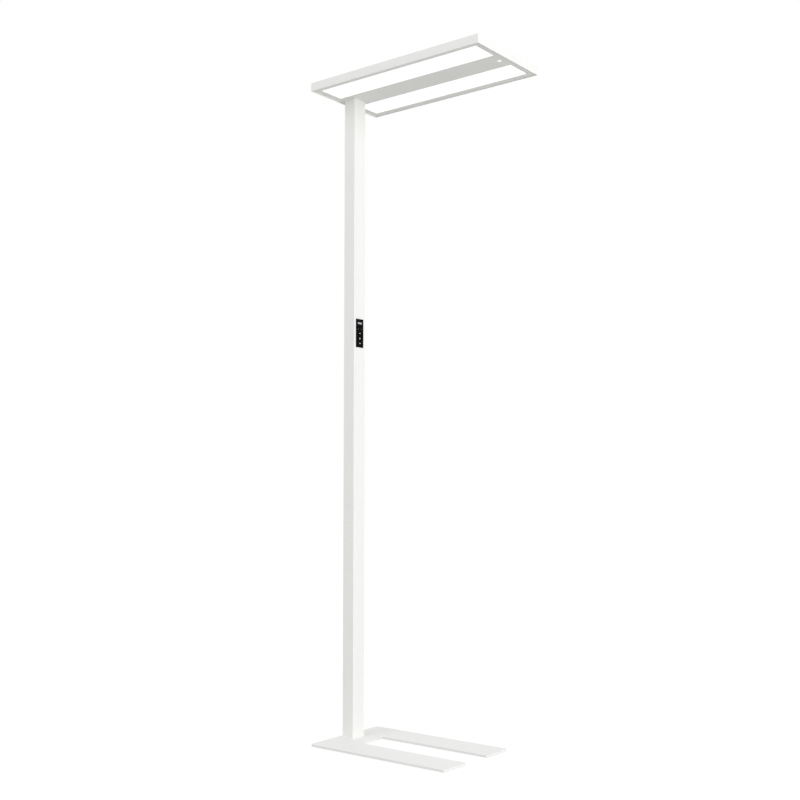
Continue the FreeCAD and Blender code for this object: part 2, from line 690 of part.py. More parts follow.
def make_panel_inside():
    """Display window and module, control board with a switch under each key, screws, plug, cover."""
    window = body("display_window")
    pane = sketch(window, "YZ_Plane", "panel_face")
    centred(pane, "0", "panel_height + display_rise", "display_width", "display_length")
    pad(window, pane, "panel_front_thickness", back=True)
    rim = sketch(window, "YZ_Plane", "panel_back")
    centred(rim, "0", "panel_height + display_rise", "display_width",
            "display_length + 2 * display_lip")
    pad(window, rim, "display_lip", back=True)

    board = body("control_board")
    plate = sketch(board, "YZ_Plane", "board_front")
    centred(plate, "0", "panel_height", "2 * box_half_width - 2 * panel_box_wall - 2 * running_gap",
            "2 * box_half_length - 2 * panel_box_wall - 2 * running_gap")
    for u, v in BOARD_POSTS:
        bore(plate, u, v, "board_screw_radius + running_gap")
    pad(board, plate, "board_thickness", back=True)

    display = body("display_module")
    block = sketch(display, "YZ_Plane", "board_front")
    centred(block, "0", "panel_height + display_rise", "display_width - 2 * display_module_margin",
            "display_length - display_module_margin")
    pad(display, block, "panel_back - display_lip - running_gap - board_front")

    switches = body("key_switches")
    cases = sketch(switches, "YZ_Plane", "board_front")
    buttons = sketch(switches, "YZ_Plane", "board_front + switch_height")
    for u, v, _, _ in KEYS.values():
        centred(cases, u, v, "switch_size", "switch_size")
        bore(buttons, u, v, "switch_button_radius")
    pad(switches, cases, "switch_height")
    pad(switches, buttons, "switch_button_height")

    screws("board_screws", "YZ_Plane", BOARD_POSTS, "board_back", "board_screw_radius",
           "board_screw_length", "2 * board_screw_radius", "board_head_height", tip_down=False,
           socket=False)

    socket = body("control_socket")
    case = sketch(socket, "YZ_Plane", "board_back")
    centred(case, "socket_offset", "panel_height + socket_rise", "socket_width", "socket_length")
    pad(socket, case, "socket_depth", back=True)

    cover = body("panel_back_cover")
    lid = sketch(cover, "YZ_Plane", "box_end")
    centred(lid, "0", "panel_height", "2 * box_half_width", "2 * box_half_length")
    centred(lid, "socket_offset", "panel_height + cover_slot_rise", "socket_width",
            "cover_slot_length")
    pad(cover, lid, "back_cover_thickness", back=True)
    lip = sketch(cover, "YZ_Plane", "box_end")
    inner = "2 * box_half_width - 2 * panel_box_wall - 2 * running_gap"
    tall = "2 * box_half_length - 2 * panel_box_wall - 2 * running_gap"
    centred(lip, "0", "panel_height", inner, tall)
    centred(lip, "0", "panel_height", f"{inner} - 2 * back_cover_lip_wall",
            f"{tall} - 2 * back_cover_lip_wall")
    pad(cover, lip, "back_cover_lip")


# ---------------------------------------------------------------- head: frame and sheets

def stud_spots():
    """Studs of the face sheet over the frame's ledges, long sides first."""
    row = "head_width / 2 - (chamber_width + ledge_width) / 2"
    column = "head_length / 2 - (chamber_width + ledge_width) / 2"
    long_x = "(head_length / 2 - stud_side_inset)"
    spots = [(x, f"{sign}({row})") for sign in ("-", "") for x in (f"-{long_x}", "0", long_x)]
    spots += [(f"{sign}({column})", f"{turn}(stud_end_pitch / 2)")
              for sign in ("-", "") for turn in ("-", "")]
    return spots


def frame_section(drawing, edge, sign):
    """Section of the frame's extrusion: outer wall, two ledges and the corner key's chamber."""
    def at(inwards):
        return f"{edge} {sign} ({inwards})"
    outline(drawing, [
        (at("0"), "head_bottom"), (at("frame_wall"), "head_bottom"),
        (at("frame_wall"), "sheet_top"), (at("ledge_width"), "sheet_top"),
        (at("ledge_width"), "ledge_top"), (at("chamber_width"), "ledge_top"),
        (at("chamber_width"), "upper_ledge"), (at("ledge_width"), "upper_ledge"),
        (at("ledge_width"), "cover_level"), (at("frame_wall"), "cover_level"),
        (at("frame_wall"), "overall_height"), (at("0"), "overall_height"),
    ])
    rectangle(drawing, at("frame_wall"), "ledge_top", at("chamber_width - chamber_wall"),
              "upper_ledge")


def mitre(part, along, x_sign, y_sign):
    """A pocket that cuts one end of a frame side at 45 degrees."""
    reach = "(ledge_width + frame_wall)"
    cut = sketch(part, "XY_Plane", "head_bottom + head_height / 2")
    corner_x = f"{x_sign}(head_length / 2)"
    corner_y = f"{y_sign}(head_width / 2)"
    back_x = "-" if x_sign == "" else "+"
    back_y = "-" if y_sign == "" else "+"
    inner = (f"{corner_x} {back_x} {reach}", f"{corner_y} {back_y} {reach}")
    if along:
        third = (corner_x, inner[1])
    else:
        third = (inner[0], corner_y)
    outline(cut, [(corner_x, corner_y), third, inner])
    pocket(part, cut, "2 * head_height", both=True)


def make_frame():
    """Four mitred lengths of one extrusion round the head."""
    for label, sign, y_sign in (("frame_left", "-", ""), ("frame_right", "+", "-")):
        side = body(label)
        drawing = sketch(side, "YZ_Plane")
        frame_section(drawing, f"{y_sign}(head_width / 2)", sign)
        pad(side, drawing, "head_length", both=True)
        mitre(side, True, "", y_sign)
        mitre(side, True, "-", y_sign)
        drill_frame(side, lambda x, y, s=y_sign: (y < 0) == (s == "-"), 0, 6)
    for label, sign, x_sign in (("frame_front", "-", ""), ("frame_rear", "+", "-")):
        end = body(label)
        drawing = sketch(end, "XZ_Plane")
        frame_section(drawing, f"{x_sign}(head_length / 2)", sign)
        pad(end, drawing, "head_width", both=True)
        mitre(end, False, x_sign, "")
        mitre(end, False, x_sign, "-")
        drill_frame(end, lambda x, y, s=x_sign: (x < 0) == (s == "-"), 6, 10)


def drill_frame(part, mine, first, last):
    """Holes in one frame side: studs in the lower ledge, cover screws in the upper one."""
    holes = sketch(part, "XY_Plane", "sheet_top")
    for u, v in stud_spots()[first:last]:
        if mine(amount(u), amount(v)):
            bore(holes, u, v, "stud_radius + running_gap / 2")
    pocket(part, holes, "ledge_thickness", up=True)
    if first:
        return
    taps = sketch(part, "XY_Plane", "cover_level")
    for u, v in COVER_SPOTS:
        if mine(amount(u), amount(v)):
            bore(taps, u, v, "cover_screw_radius + running_gap / 2")
    pocket(part, taps, "ledge_thickness")


KEY_MIDDLE = "(frame_wall + chamber_width - chamber_wall) / 2"
COVER_SPOTS = [
    (f"{x_sign}(head_length / 2 - corner_leg / 2 - chamber_width)",
     f"{y_sign}(head_width / 2 - {KEY_MIDDLE})")
    for x_sign in ("-", "") for y_sign in ("-", "")
]


def make_corner_keys():
    """Four L-shaped keys inside the frame's chambers, tapped for the cover's screws."""
    keys = body("corner_keys")
    drawing = sketch(keys, "XY_Plane", "ledge_top + running_gap / 2")
    taps = sketch(keys, "XY_Plane", "upper_ledge")
    outer = "(frame_wall + running_gap / 2)"
    inner = "(chamber_width - chamber_wall - running_gap / 2)"
    for x_sign in ("-", ""):
        for y_sign in ("-", ""):
            def at(x_in, y_in):
                return (f"{x_sign}(head_length / 2 - {x_in})", f"{y_sign}(head_width / 2 - {y_in})")
            outline(drawing, [
                at(outer, outer), at("corner_leg", outer), at("corner_leg", inner),
                at(inner, inner), at(inner, "corner_leg"), at(outer, "corner_leg"),
            ])
    pad(keys, drawing, "upper_ledge - ledge_top - running_gap")
    for u, v in COVER_SPOTS:
        bore(taps, u, v, "cover_screw_radius + thread_gap")
    pocket(keys, taps, "cover_screw_length")


def make_face_sheet():
    """The sheet under the head: two windows, bolt, lead and sensor holes, and welded studs."""
    face = body("face_sheet")
    drawing = sketch(face, "XY_Plane", "face_level")
    centred(drawing, "0", "0", "inner_length", "inner_width")
    for sign in ("-", ""):
        centred(drawing, "0", f"{sign}window_middle", "window_length", "window_outer - window_inner")
    for u, v in block_bolt_spots():
        bore(drawing, u, v, "block_bolt_radius + running_gap")
    circle(drawing, "hollow_back + race_depth - supply_lead_radius", "0", "wire_hole_radius")
    circle(drawing, "sensor_x", "0", "sensor_hole_radius")
    pad(face, drawing, "sheet_thickness")
    nuts = body("stud_nuts")
    for u, v in stud_spots():
        stud = sketch(face, "XY_Plane", "sheet_top")
        bore(stud, u, v, "stud_radius")
        pad(face, stud, "stud_length - sheet_thickness")
        nut = sketch(nuts, "XY_Plane", "ledge_top")
        hexagon(nut, u, v, "nut_across")
        bore(nut, u, v, "stud_radius + thread_gap")
        pad(nuts, nut, "nut_height")


def make_top():
    """The top cover with its two windows, their lenses and the cover's screws."""
    cover = body("top_cover")
    drawing = sketch(cover, "XY_Plane", "cover_level")
    centred(drawing, "0", "0", "inner_length", "inner_width")
    for sign in ("-", ""):
        centred(drawing, "0", f"{sign}window_middle", "up_window_length", "up_window_width")
    for u, v in COVER_SPOTS:
        bore(drawing, u, v, "cover_screw_radius + running_gap / 2")
    pad(cover, drawing, "cover_thickness")
    sinks = sketch(cover, "XY_Plane", "overall_height")
    for u, v in COVER_SPOTS:
        bore(sinks, u, v, "cover_head_radius + running_gap / 2")
    pocket(cover, sinks, "cover_head_height")
    for label, sign in (("up_lens_left", ""), ("up_lens_right", "-")):
        lens = body(label)
        drawing = sketch(lens, "XY_Plane", "cover_level")
        centred(drawing, "0", f"{sign}window_middle", "up_window_length + 2 * lens_overlap",
                "up_window_width + 2 * lens_overlap")
        pad(lens, drawing, "lens_thickness", back=True)
    screws("cover_screws", "XY_Plane", COVER_SPOTS, "overall_height - cover_head_height",
           "cover_screw_radius", "cover_screw_length", "cover_head_radius", "cover_head_height")


# ---------------------------------------------------------------- head: light and power

def make_light_side(side, sign):
    """Diffuser, reflector tray and light strips of one side."""
    def across(text):
        return f"{sign}({text})"
    low, high = ("tray_inner", "tray_outer") if sign == "" else ("-tray_outer", "-tray_inner")
    diffuser = body(f"diffuser_{side}")
    drawing = sketch(diffuser, "XY_Plane", "sheet_top")
    half = "(window_length / 2 + diffuser_end_overlap)"
    rectangle(drawing, f"-{half}", low, half, high)
    pad(diffuser, drawing, "diffuser_thickness")

    tray = body(f"reflector_tray_{side}")
    drawing = sketch(tray, "YZ_Plane")
    foot = "diffuser_top"
    roof = "tray_base"
    skin = "tray_thickness"
    wide_in = "tray_inner + tray_flange"
    wide_out = "tray_outer - tray_flange"
    profile = [
        ("tray_inner", foot), (wide_in, foot), (f"{wide_in} + tray_slope", roof),
        (f"{wide_out} - tray_slope", roof), (wide_out, foot), ("tray_outer", foot),
        ("tray_outer", f"{foot} + {skin}"), (f"{wide_out} + {skin}", f"{foot} + {skin}"),
        (f"{wide_out} - tray_slope + {skin}", f"{roof} + {skin}"),
        (f"{wide_in} + tray_slope - {skin}", f"{roof} + {skin}"),
        (f"{wide_in} - {skin}", f"{foot} + {skin}"), ("tray_inner", f"{foot} + {skin}"),
    ]
    outline(drawing, [(across(u), v) for u, v in profile])
    pad(tray, drawing, "window_length - 2 * tray_end_gap", both=True)
    for end in ("-", ""):
        wall = sketch(tray, "YZ_Plane", f"{end}(window_length / 2 - tray_end_gap)")
        corners = [(wide_in, foot), (f"{wide_in} + tray_slope", roof),
                   (f"{wide_out} - tray_slope", roof), (wide_out, foot)]
        outline(wall, [(across(u), v) for u, v in corners])
        pad(tray, wall, skin, back=end == "")

    strips = body(f"light_strips_{side}")
    boards = sketch(strips, "XY_Plane", "tray_base")
    for row in "-+":
        middle = across(f"window_middle {row} strip_pitch / 2")
        centred(boards, "0", middle, "window_length - 2 * strip_end_gap", "strip_width")
    pad(strips, boards, "strip_thickness", back=True)
    emitters = sketch(strips, "XY_Plane", "tray_base - strip_thickness")
    start = "(window_length / 2 - emitter_pitch)"
    for row in "-+":
        middle = across(f"window_middle {row} strip_pitch / 2")
        centred(emitters, f"-{start}", middle, "emitter_size", "emitter_size")
    first = pad(strips, emitters, "emitter_height", back=True)
    axis = [entry for entry in strips.Origin.OriginFeatures if entry.Role == "X_Axis"][0]
    pattern = strips.newObject("PartDesign::LinearPattern", f"emitters_{side}")
    pattern.Originals = [first]
    pattern.Direction = (axis, [""])
    pattern.setExpression("Length", formula(f"2 * {start}"))
    pattern.setExpression("Occurrences", formula(f"floor(2 * {start} / emitter_pitch) + 1"))
    strips.Tip = pattern
    doc.recompute()

    upper = body(f"up_light_strip_{side}")
    drawing = sketch(upper, "XY_Plane", "tray_base + tray_thickness")
    centred(drawing, "0", across("window_middle"), "up_window_length", "up_strip_width")
    pad(upper, drawing, "strip_thickness")


DRIVER_STARTS = ("driver_start - head_length / 2",
                 "driver_start - head_length / 2 + driver_length + driver_gap")


def driver_screw_spots():
    """One screw in each ear of both drivers."""
    spots = []
    for start in DRIVER_STARTS:
        spots.append((f"{start} + driver_ear / 2", "0"))
        spots.append((f"{start} + driver_length - driver_ear / 2", "0"))
    return spots


def make_spine():
    """The channel along the head's middle with bolts, drivers, terminal block and sensor."""
    channel = body("spine_channel")
    drawing = sketch(channel, "YZ_Plane")
    half = "(channel_width / 2)"
    inner = "(channel_width / 2 - channel_wall)"
    top = "sheet_top + channel_height"
    outline(drawing, [
        (f"-{half}", "sheet_top"), (half, "sheet_top"), (half, top), (inner, top),
        (inner, "channel_floor"), (f"-{inner}", "channel_floor"), (f"-{inner}", top),
        (f"-{half}", top),
    ])
    pad(channel, drawing, "head_length - 2 * ledge_width - 2 * running_gap", both=True)
    taps = sketch(channel, "XY_Plane", "sheet_top")
    for u, v in driver_screw_spots():
        bore(taps, u, v, "driver_screw_radius + thread_gap")
    pocket(channel, taps, "channel_wall", up=True)
    holes = sketch(channel, "XY_Plane", "sheet_top")
    for u, v in block_bolt_spots():
        bore(holes, u, v, "block_bolt_radius + running_gap")
    circle(holes, "hollow_back + race_depth - supply_lead_radius", "0", "wire_hole_radius")
    circle(holes, "sensor_x", "0", "sensor_body_radius + running_gap")
    pocket(channel, holes, "channel_wall", up=True)
    screws("head_bolts", "XY_Plane", block_bolt_spots(), "channel_floor", "block_bolt_radius",
           "block_bolt_length", "bolt_head_radius", "bolt_head_height")

    for label, start in zip(("driver_down", "driver_up"), DRIVER_STARTS):
        driver = body(label)
        plate = sketch(driver, "XY_Plane", "channel_floor")
        rectangle(plate, start, "0 - driver_width / 2", f"{start} + driver_length",
                  "driver_width / 2")
        for place in (f"{start} + driver_ear / 2", f"{start} + driver_length - driver_ear / 2"):
            bore(plate, place, "0", "driver_screw_radius + running_gap / 2")
        pad(driver, plate, "driver_ear_thickness")
        case = sketch(driver, "XY_Plane", "channel_floor")
        rectangle(case, f"{start} + driver_ear", "0 - driver_width / 2",
                  f"{start} + driver_length - driver_ear", "driver_width / 2")
        pad(driver, case, "driver_height")
    screws("driver_screws", "XY_Plane", driver_screw_spots(), "channel_floor + driver_ear_thickness",
           "driver_screw_radius", "driver_screw_length", "small_head_radius", "small_head_height",
           socket=False)

    terminal = body("terminal_block")
    case = sketch(terminal, "XY_Plane", "channel_floor")
    rectangle(case, "terminal_back", "0 - terminal_width / 2", "terminal_back + terminal_length",
              "terminal_width / 2")
    pad(terminal, case, "terminal_height")
    ports = sketch(terminal, "YZ_Plane", "terminal_back + terminal_length")
    for step in (-2, -1, 0, 1, 2):
        bore(ports, f"{step} * terminal_width / 6", "channel_floor + terminal_height / 2",
             "terminal_port_radius")
    pocket(terminal, ports, "terminal_length / 3")


def make_sensor():
    """The presence sensor: a round housing on the face sheet, its board and its domed lens."""
    housing = body("sensor_housing")
    can = sketch(housing, "XY_Plane", "sheet_top")
    circle(can, "sensor_x", "0", "sensor_body_radius")
    pad(housing, can, "sensor_body_height")
    chamber = sketch(housing, "XY_Plane", "sheet_top")
    circle(chamber, "sensor_x", "0", "sensor_hole_radius")
    pocket(housing, chamber, "sensor_body_height - sensor_roof", up=True)

    board = body("sensor_board")
    disc = sketch(board, "XY_Plane", "eye_level")
    circle(disc, "sensor_x", "0", "sensor_hole_radius - running_gap")
    pad(board, disc, "board_thickness", back=True)
    eye = sketch(board, "XY_Plane", "eye_level - board_thickness")
    centred(eye, "sensor_x", "0", "sensor_hole_radius", "sensor_hole_radius")
    pad(board, eye, "sensor_eye_height", back=True)

    lens = body("sensor_lens")
    profile = sketch(lens, "XZ_Plane")
    profile.setExpression("AttachmentOffset.Base.x", formula("sensor_x"))
    rim = "sensor_hole_radius - running_gap"
    outline(profile, [
        ("0", "face_level - sensor_lens_drop"),
        ("sensor_lens_radius / 2", "face_level - sensor_lens_drop * 5 / 6"),
        ("sensor_lens_radius", "face_level"),
        (rim, "face_level"), (rim, "sheet_top + sensor_collar"), ("0", "sheet_top + sensor_collar"),
    ])
    turned = lens.newObject("PartDesign::Revolution", "sensor_lens_turned")
    turned.Profile = profile
    turned.ReferenceAxis = (profile, ["V_Axis"])
    turned.Angle = 360
    lens.Tip = turned
    doc.recompute()


def check():
    """Every object computed without a fault, and every sub-part a valid shape."""
    doc.recompute()
    for entry in doc.Objects:
        if "Invalid" in entry.State or "Error" in entry.State:
            raise ValueError(entry.Label + " failed")
    for part in SUBPARTS:
        if part.Shape.isNull() or not part.Shape.isValid():
            raise ValueError(part.Label + " has no valid shape")


make_base()
make_column()
make_column_fittings()
make_leads()
make_panel_housing()
make_keys()
make_panel_inside()
make_frame()
make_corner_keys()
make_face_sheet()
make_top()
make_light_side("left", "")
make_light_side("right", "-")
make_spine()
make_sensor()
check()

os.makedirs("parts", exist_ok=True)
for part in SUBPARTS:
    part.Shape.exportStep(f"parts/{part.Label}.step")
    print(part.Label, len(part.Shape.Solids), round(part.Shape.Volume))
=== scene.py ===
"""Office floor lamp: every sub-part's finish, the small pieces that only show, a white studio."""
import json
import math

import bmesh
import bpy
import numpy as np
from bpy.props import FloatProperty, FloatVectorProperty, IntProperty, PointerProperty
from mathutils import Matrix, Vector

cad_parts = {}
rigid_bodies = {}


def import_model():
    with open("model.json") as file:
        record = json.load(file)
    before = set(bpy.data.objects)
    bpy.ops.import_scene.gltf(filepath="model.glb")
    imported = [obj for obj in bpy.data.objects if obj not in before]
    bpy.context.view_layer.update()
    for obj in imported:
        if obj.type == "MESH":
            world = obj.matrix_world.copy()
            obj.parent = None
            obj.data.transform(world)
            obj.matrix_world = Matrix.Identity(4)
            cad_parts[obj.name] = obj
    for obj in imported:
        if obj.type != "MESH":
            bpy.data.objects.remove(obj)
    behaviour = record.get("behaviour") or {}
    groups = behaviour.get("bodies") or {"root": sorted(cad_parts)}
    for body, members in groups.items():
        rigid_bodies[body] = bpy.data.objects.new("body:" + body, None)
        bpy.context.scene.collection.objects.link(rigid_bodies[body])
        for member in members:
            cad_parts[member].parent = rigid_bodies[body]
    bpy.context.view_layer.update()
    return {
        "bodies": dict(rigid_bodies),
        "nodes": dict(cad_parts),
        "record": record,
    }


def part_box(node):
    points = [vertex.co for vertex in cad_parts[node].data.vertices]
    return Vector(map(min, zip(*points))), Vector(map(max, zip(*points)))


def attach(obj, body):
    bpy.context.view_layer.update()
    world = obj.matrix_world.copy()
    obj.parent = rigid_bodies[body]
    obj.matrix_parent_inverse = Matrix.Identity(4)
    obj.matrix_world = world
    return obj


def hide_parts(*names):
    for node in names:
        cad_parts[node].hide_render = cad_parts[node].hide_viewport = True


bl_info = {
    "name": "Office Floor Lamp",
    "version": (1, 0, 0),
    "blender": (4, 5, 0),
    "location": "3D View > Sidebar > Floor Lamp",
    "description": "Dresses the office floor lamp and sets up its white studio",
    "category": "Object",
}

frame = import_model()
NODES = frame["nodes"]
MM = 0.001
SCREW_REACH = 12 * MM         # points of one screw lie within this distance across its line
SMALL_FACE = 20 * MM ** 2     # faces under this area are shaded smooth
SHARP_EDGE = math.radians(50.0)
CAD_CORNER = 3 * MM           # radius of the base plate's back corners in the CAD
COLLAR_REACH = 1.13           # the sensor dome's collar, as a share of the dome's radius
LENS_REACH = 1.14             # the CAD lens that it replaces, as the same share
STEPS_PER_PRISM = 4
WHOLE_TURN = 2.0 * math.pi
SLOTS = {entry["node"]: entry["material_slot"] for entry in frame["record"]["subparts"]}
BODIES = frame["bodies"]


# ---------------------------------------------------------------- sizes and colours to change

class LampFinish(bpy.types.PropertyGroup):
    """Colours and textures of the lamp's surfaces."""
    coat_colour: FloatVectorProperty(
        name="Coat colour", description="White powder coat of base, column and head",
        subtype="COLOR", default=(0.868, 0.87, 0.853), min=0.0, max=1.0)
    coat_grain: FloatProperty(
        name="Coat grain", description="Size of the powder coat's fine texture", subtype="DISTANCE",
        unit="LENGTH", default=0.9 * MM, min=0.1 * MM)
    panel_colour: FloatVectorProperty(
        name="Panel colour", description="Glossy front of the key panel", subtype="COLOR",
        default=(0.0022, 0.0022, 0.0024), min=0.0, max=1.0)
    mark_colour: FloatVectorProperty(
        name="Mark colour", description="Printed marks on the keys", subtype="COLOR",
        default=(0.95, 0.95, 0.95), min=0.0, max=1.0)
    glow: FloatProperty(
        name="Glow", description="How bright the two diffusers shine, 1 is white", default=0.8,
        min=0.0)
    plate_corner: FloatProperty(
        name="Plate corner", description="Radius of the base plate's two back corners",
        subtype="DISTANCE", unit="LENGTH", default=9.0 * MM, min=3.0 * MM)
    edge_radius: FloatProperty(
        name="Edge radius", description="Soft edge that the coat gives to plates and profiles",
        subtype="DISTANCE", unit="LENGTH", default=0.4 * MM, min=0.05 * MM)
    prism_pitch: FloatProperty(
        name="Prism pitch", description="Distance of the diffusers' prisms", subtype="DISTANCE",
        unit="LENGTH", default=6.0 * MM, min=2.0 * MM)
    prism_depth: FloatProperty(
        name="Prism depth", description="Depth of the diffusers' prisms", subtype="DISTANCE",
        unit="LENGTH", default=0.5 * MM, min=0.0)


class LampMarks(bpy.types.PropertyGroup):
    """Sizes of what is printed or shown on the key panel."""
    mark_size: FloatProperty(
        name="Mark size", description="Width of the mark on a key", subtype="DISTANCE",
        unit="LENGTH", default=4.7 * MM, min=0.5 * MM)
    mark_stroke: FloatProperty(
        name="Mark stroke", description="Width of a mark's lines", subtype="DISTANCE",
        unit="LENGTH", default=1.15 * MM, min=0.1 * MM)
    mark_height: FloatProperty(
        name="Mark height", description="How far a printed mark stands off its key",
        subtype="DISTANCE", unit="LENGTH", default=0.06 * MM, min=0.01 * MM)
    bar_width: FloatProperty(
        name="Bar width", description="Lit bar of the display", subtype="DISTANCE", unit="LENGTH",
        default=16.5 * MM, min=1.0 * MM)
    bar_height: FloatProperty(
        name="Bar height", description="Lit bar of the display", subtype="DISTANCE",
        unit="LENGTH", default=6.0 * MM, min=1.0 * MM)
    bar_steps: IntProperty(
        name="Bar steps", description="Number of lit steps in the display's bar", default=10, min=2)


class LampStudio(bpy.types.PropertyGroup):
    """Camera and light of the studio."""
    camera_place: FloatVectorProperty(
        name="Camera place", description="Where the camera stands", subtype="TRANSLATION",
        unit="LENGTH", default=(1.9071, -2.5333, 0.7498))
    camera_turn: FloatProperty(
        name="Camera turn", description="Camera's turn about the vertical", subtype="ANGLE",
        default=math.radians(38.14))
    camera_tilt: FloatProperty(
        name="Camera tilt", description="How far the camera looks up", subtype="ANGLE",
        default=math.radians(4.28))
    lens: FloatProperty(
        name="Lens", description="Focal length in millimetres on a 36 mm sensor", default=49.99,
        min=10.0)
    sky: FloatProperty(
        name="Sky", description="Strength of the even light from all round", default=0.75, min=0.0)
    side_power: FloatProperty(
        name="Side light", description="Power of the soft light ahead of the head's free end",
        subtype="POWER", unit="POWER", default=118.0, min=0.0)
    side_place: FloatVectorProperty(
        name="Side light's place", description="Where the side light stands",
        subtype="TRANSLATION", unit="LENGTH", default=(5.0, -0.8, 1.7))
    side_target: FloatVectorProperty(
        name="Side light's target", description="Where the side light points",
        subtype="TRANSLATION", unit="LENGTH", default=(-0.2, 0.0, 1.1))
    side_size: FloatProperty(
        name="Side light's size", description="Side of the square side light",
        subtype="DISTANCE", unit="LENGTH", default=2.8, min=0.1)
    front_power: FloatProperty(
        name="Front light", description="Power of the soft light on the lamp's long side",
        subtype="POWER", unit="POWER", default=39.0, min=0.0)
    front_place: FloatVectorProperty(
        name="Front light's place", description="Where the front light stands",
        subtype="TRANSLATION", unit="LENGTH", default=(-0.9, -4.2, 3.8))
    front_target: FloatVectorProperty(
        name="Front light's target", description="Where the front light points",
        subtype="TRANSLATION", unit="LENGTH", default=(-0.1, 0.0, 1.8))
    front_size: FloatProperty(
        name="Front light's size", description="Side of the square front light",
        subtype="DISTANCE", unit="LENGTH", default=2.6, min=0.1)
    floor_colour: FloatVectorProperty(
        name="Floor colour", description="Colour of the floor for the light that it throws back",
        subtype="COLOR", default=(0.61, 0.61, 0.6), min=0.0, max=1.0)
    floor_shadow: FloatProperty(
        name="Floor shadow", description="How much of the lamp's shadow the floor keeps",
        subtype="FACTOR", default=0.12, min=0.0, max=1.0)
    floor_white: FloatProperty(
        name="Floor white", description="Strength of the floor's white, a little over 1 so that "
        "its shaded share still shows white", default=1.04, min=0.0)
    floor_size: FloatProperty(
        name="Floor size", description="Half the floor's side", subtype="DISTANCE", unit="LENGTH",
        default=30.0, min=3.0)


# ---------------------------------------------------------------- shader maths

class Wire:
    """A node socket that adds Math nodes when it is used in an expression."""

    def __init__(self, nodes, socket):
        self.nodes = nodes
        self.socket = socket

    def _math(self, operation, *values):
        return self.nodes.node("ShaderNodeMath", {"operation": operation}, values)

    def __add__(self, other):
        return self._math("ADD", self, other)

    __radd__ = __add__

    def __sub__(self, other):
        return self._math("SUBTRACT", self, other)

    def __rsub__(self, other):
        return self._math("SUBTRACT", other, self)

    def __mul__(self, other):
        return self._math("MULTIPLY", self, other)

    __rmul__ = __mul__

    def power(self, other):
        """This value raised to another."""
        return self._math("POWER", self, other)

    def sine(self):
        """The sine of this value in radians."""
        return self._math("SINE", self)

    def at_least(self, other):
        """The larger of this value and another."""
        return self._math("MAXIMUM", self, other)


class Nodes:
    """A node tree, built by calls."""

    def __init__(self, tree):
        self.tree = tree
        self.tree.nodes.clear()

    def node(self, kind, settings=None, values=(), output=0):
        """A node of a kind, its settings first, then its sockets by order or by name."""
        made = self.tree.nodes.new(kind)
        for key, value in (settings or {}).items():
            setattr(made, key, value)
        pairs = values.items() if isinstance(values, dict) else enumerate(values)
        for key, value in pairs:
            if isinstance(value, Wire):
                self.tree.links.new(value.socket, made.inputs[key])
            else:
                made.inputs[key].default_value = value
        return Wire(self, made.outputs[output] if len(made.outputs) else None)

    def seen(self):
        """1 for what the camera, a reflection or a clear surface sees, and 0 for other light."""
        paths = self.tree.nodes.new("ShaderNodeLightPath")
        camera, gloss, clear = (Wire(self, paths.outputs[f"Is {ray} Ray"])
                                for ray in ("Camera", "Glossy", "Transmission"))
        return camera.at_least(gloss).at_least(clear)


class Shade(Nodes):
    """One material's node tree."""

    def __init__(self, name):
        self.material = bpy.data.materials.new(name)
        self.material.use_nodes = True
        super().__init__(self.material.node_tree)

    def place(self):
        """Object coordinates, which are the lamp's own frame in metres."""
        return self.node("ShaderNodeTexCoord", output="Object")

    def noise(self, size, detail=3.0, stretch=(1.0, 1.0, 1.0)):
        """Noise with features of about that size in metres, squeezed along an axis by a stretch."""
        scaled = self.node("ShaderNodeMapping", None, {"Vector": self.place(), "Scale": stretch})
        return self.node("ShaderNodeTexNoise", None,
                         {"Vector": scaled, "Scale": 1.0 / size, "Detail": detail})

    def axis(self, index):
        """One coordinate of the lamp's frame, in metres."""
        return self.node("ShaderNodeSeparateXYZ", None, {"Vector": self.place()}, output=index)

    def mix(self, factor, first, second):
        """A colour between two; sockets 6, 7 and output 2 are the Mix node's colour ones."""
        return self.node("ShaderNodeMix", {"data_type": "RGBA"},
                         {0: factor, 6: first, 7: second}, output=2)

    def bump(self, height, distance, strength=1.0):
        """A Bump node on a height of 0 to 1 that stands for a distance in metres."""
        return self.node("ShaderNodeBump", None,
                         {"Height": height, "Distance": distance, "Strength": strength})

    def finish(self, **sockets):
        """The principled shader with these sockets, wired to the output."""
        values = {key.replace("_", " ").title().replace("Ior", "IOR"): value
                  for key, value in sockets.items()}
        self.surface(self.node("ShaderNodeBsdfPrincipled", None, values))
        return self.material

    def surface(self, shader):
        """Wires a shader to the material's output."""
        self.node("ShaderNodeOutputMaterial", None, {"Surface": shader})


def rgba(colour, gain=1.0):
    """A colour with alpha 1, brightened by a gain."""
    return (colour[0] * gain, colour[1] * gain, colour[2] * gain, 1.0)


# ---------------------------------------------------------------- finishes

def powder_coat(name, colour, grain):
    """Fine-texture powder coat: an orange-peel bump, faint cloudiness and a satin roughness."""
    shade = Shade(name)
    peel = shade.noise(grain, 2.0)
    cloud = shade.noise(120 * MM, 2.0)
    tint = shade.mix(cloud, rgba(colour, 0.988), rgba(colour, 1.012))
    rough = 0.5 + 0.10 * shade.noise(6 * MM, 2.0)
    normal = shade.bump(peel, 0.035 * MM, 0.6)
    return shade.finish(base_color=tint, roughness=rough, normal=normal)


def plated_steel(name, colour):
    """Zinc-plated steel: a mottled bright metal with fine drawn lines."""
    shade = Shade(name)
    mottle = shade.noise(3 * MM, 4.0)
    tint = shade.mix(mottle, rgba(colour, 0.82), rgba(colour, 1.05))
    lines = shade.noise(0.5 * MM, 2.0, stretch=(1.0, 8.0, 8.0))
    rough = 0.26 + 0.16 * mottle
    normal = shade.bump(lines, 0.01 * MM, 0.5)
    return shade.finish(base_color=tint, roughness=rough, metallic=1.0, normal=normal)


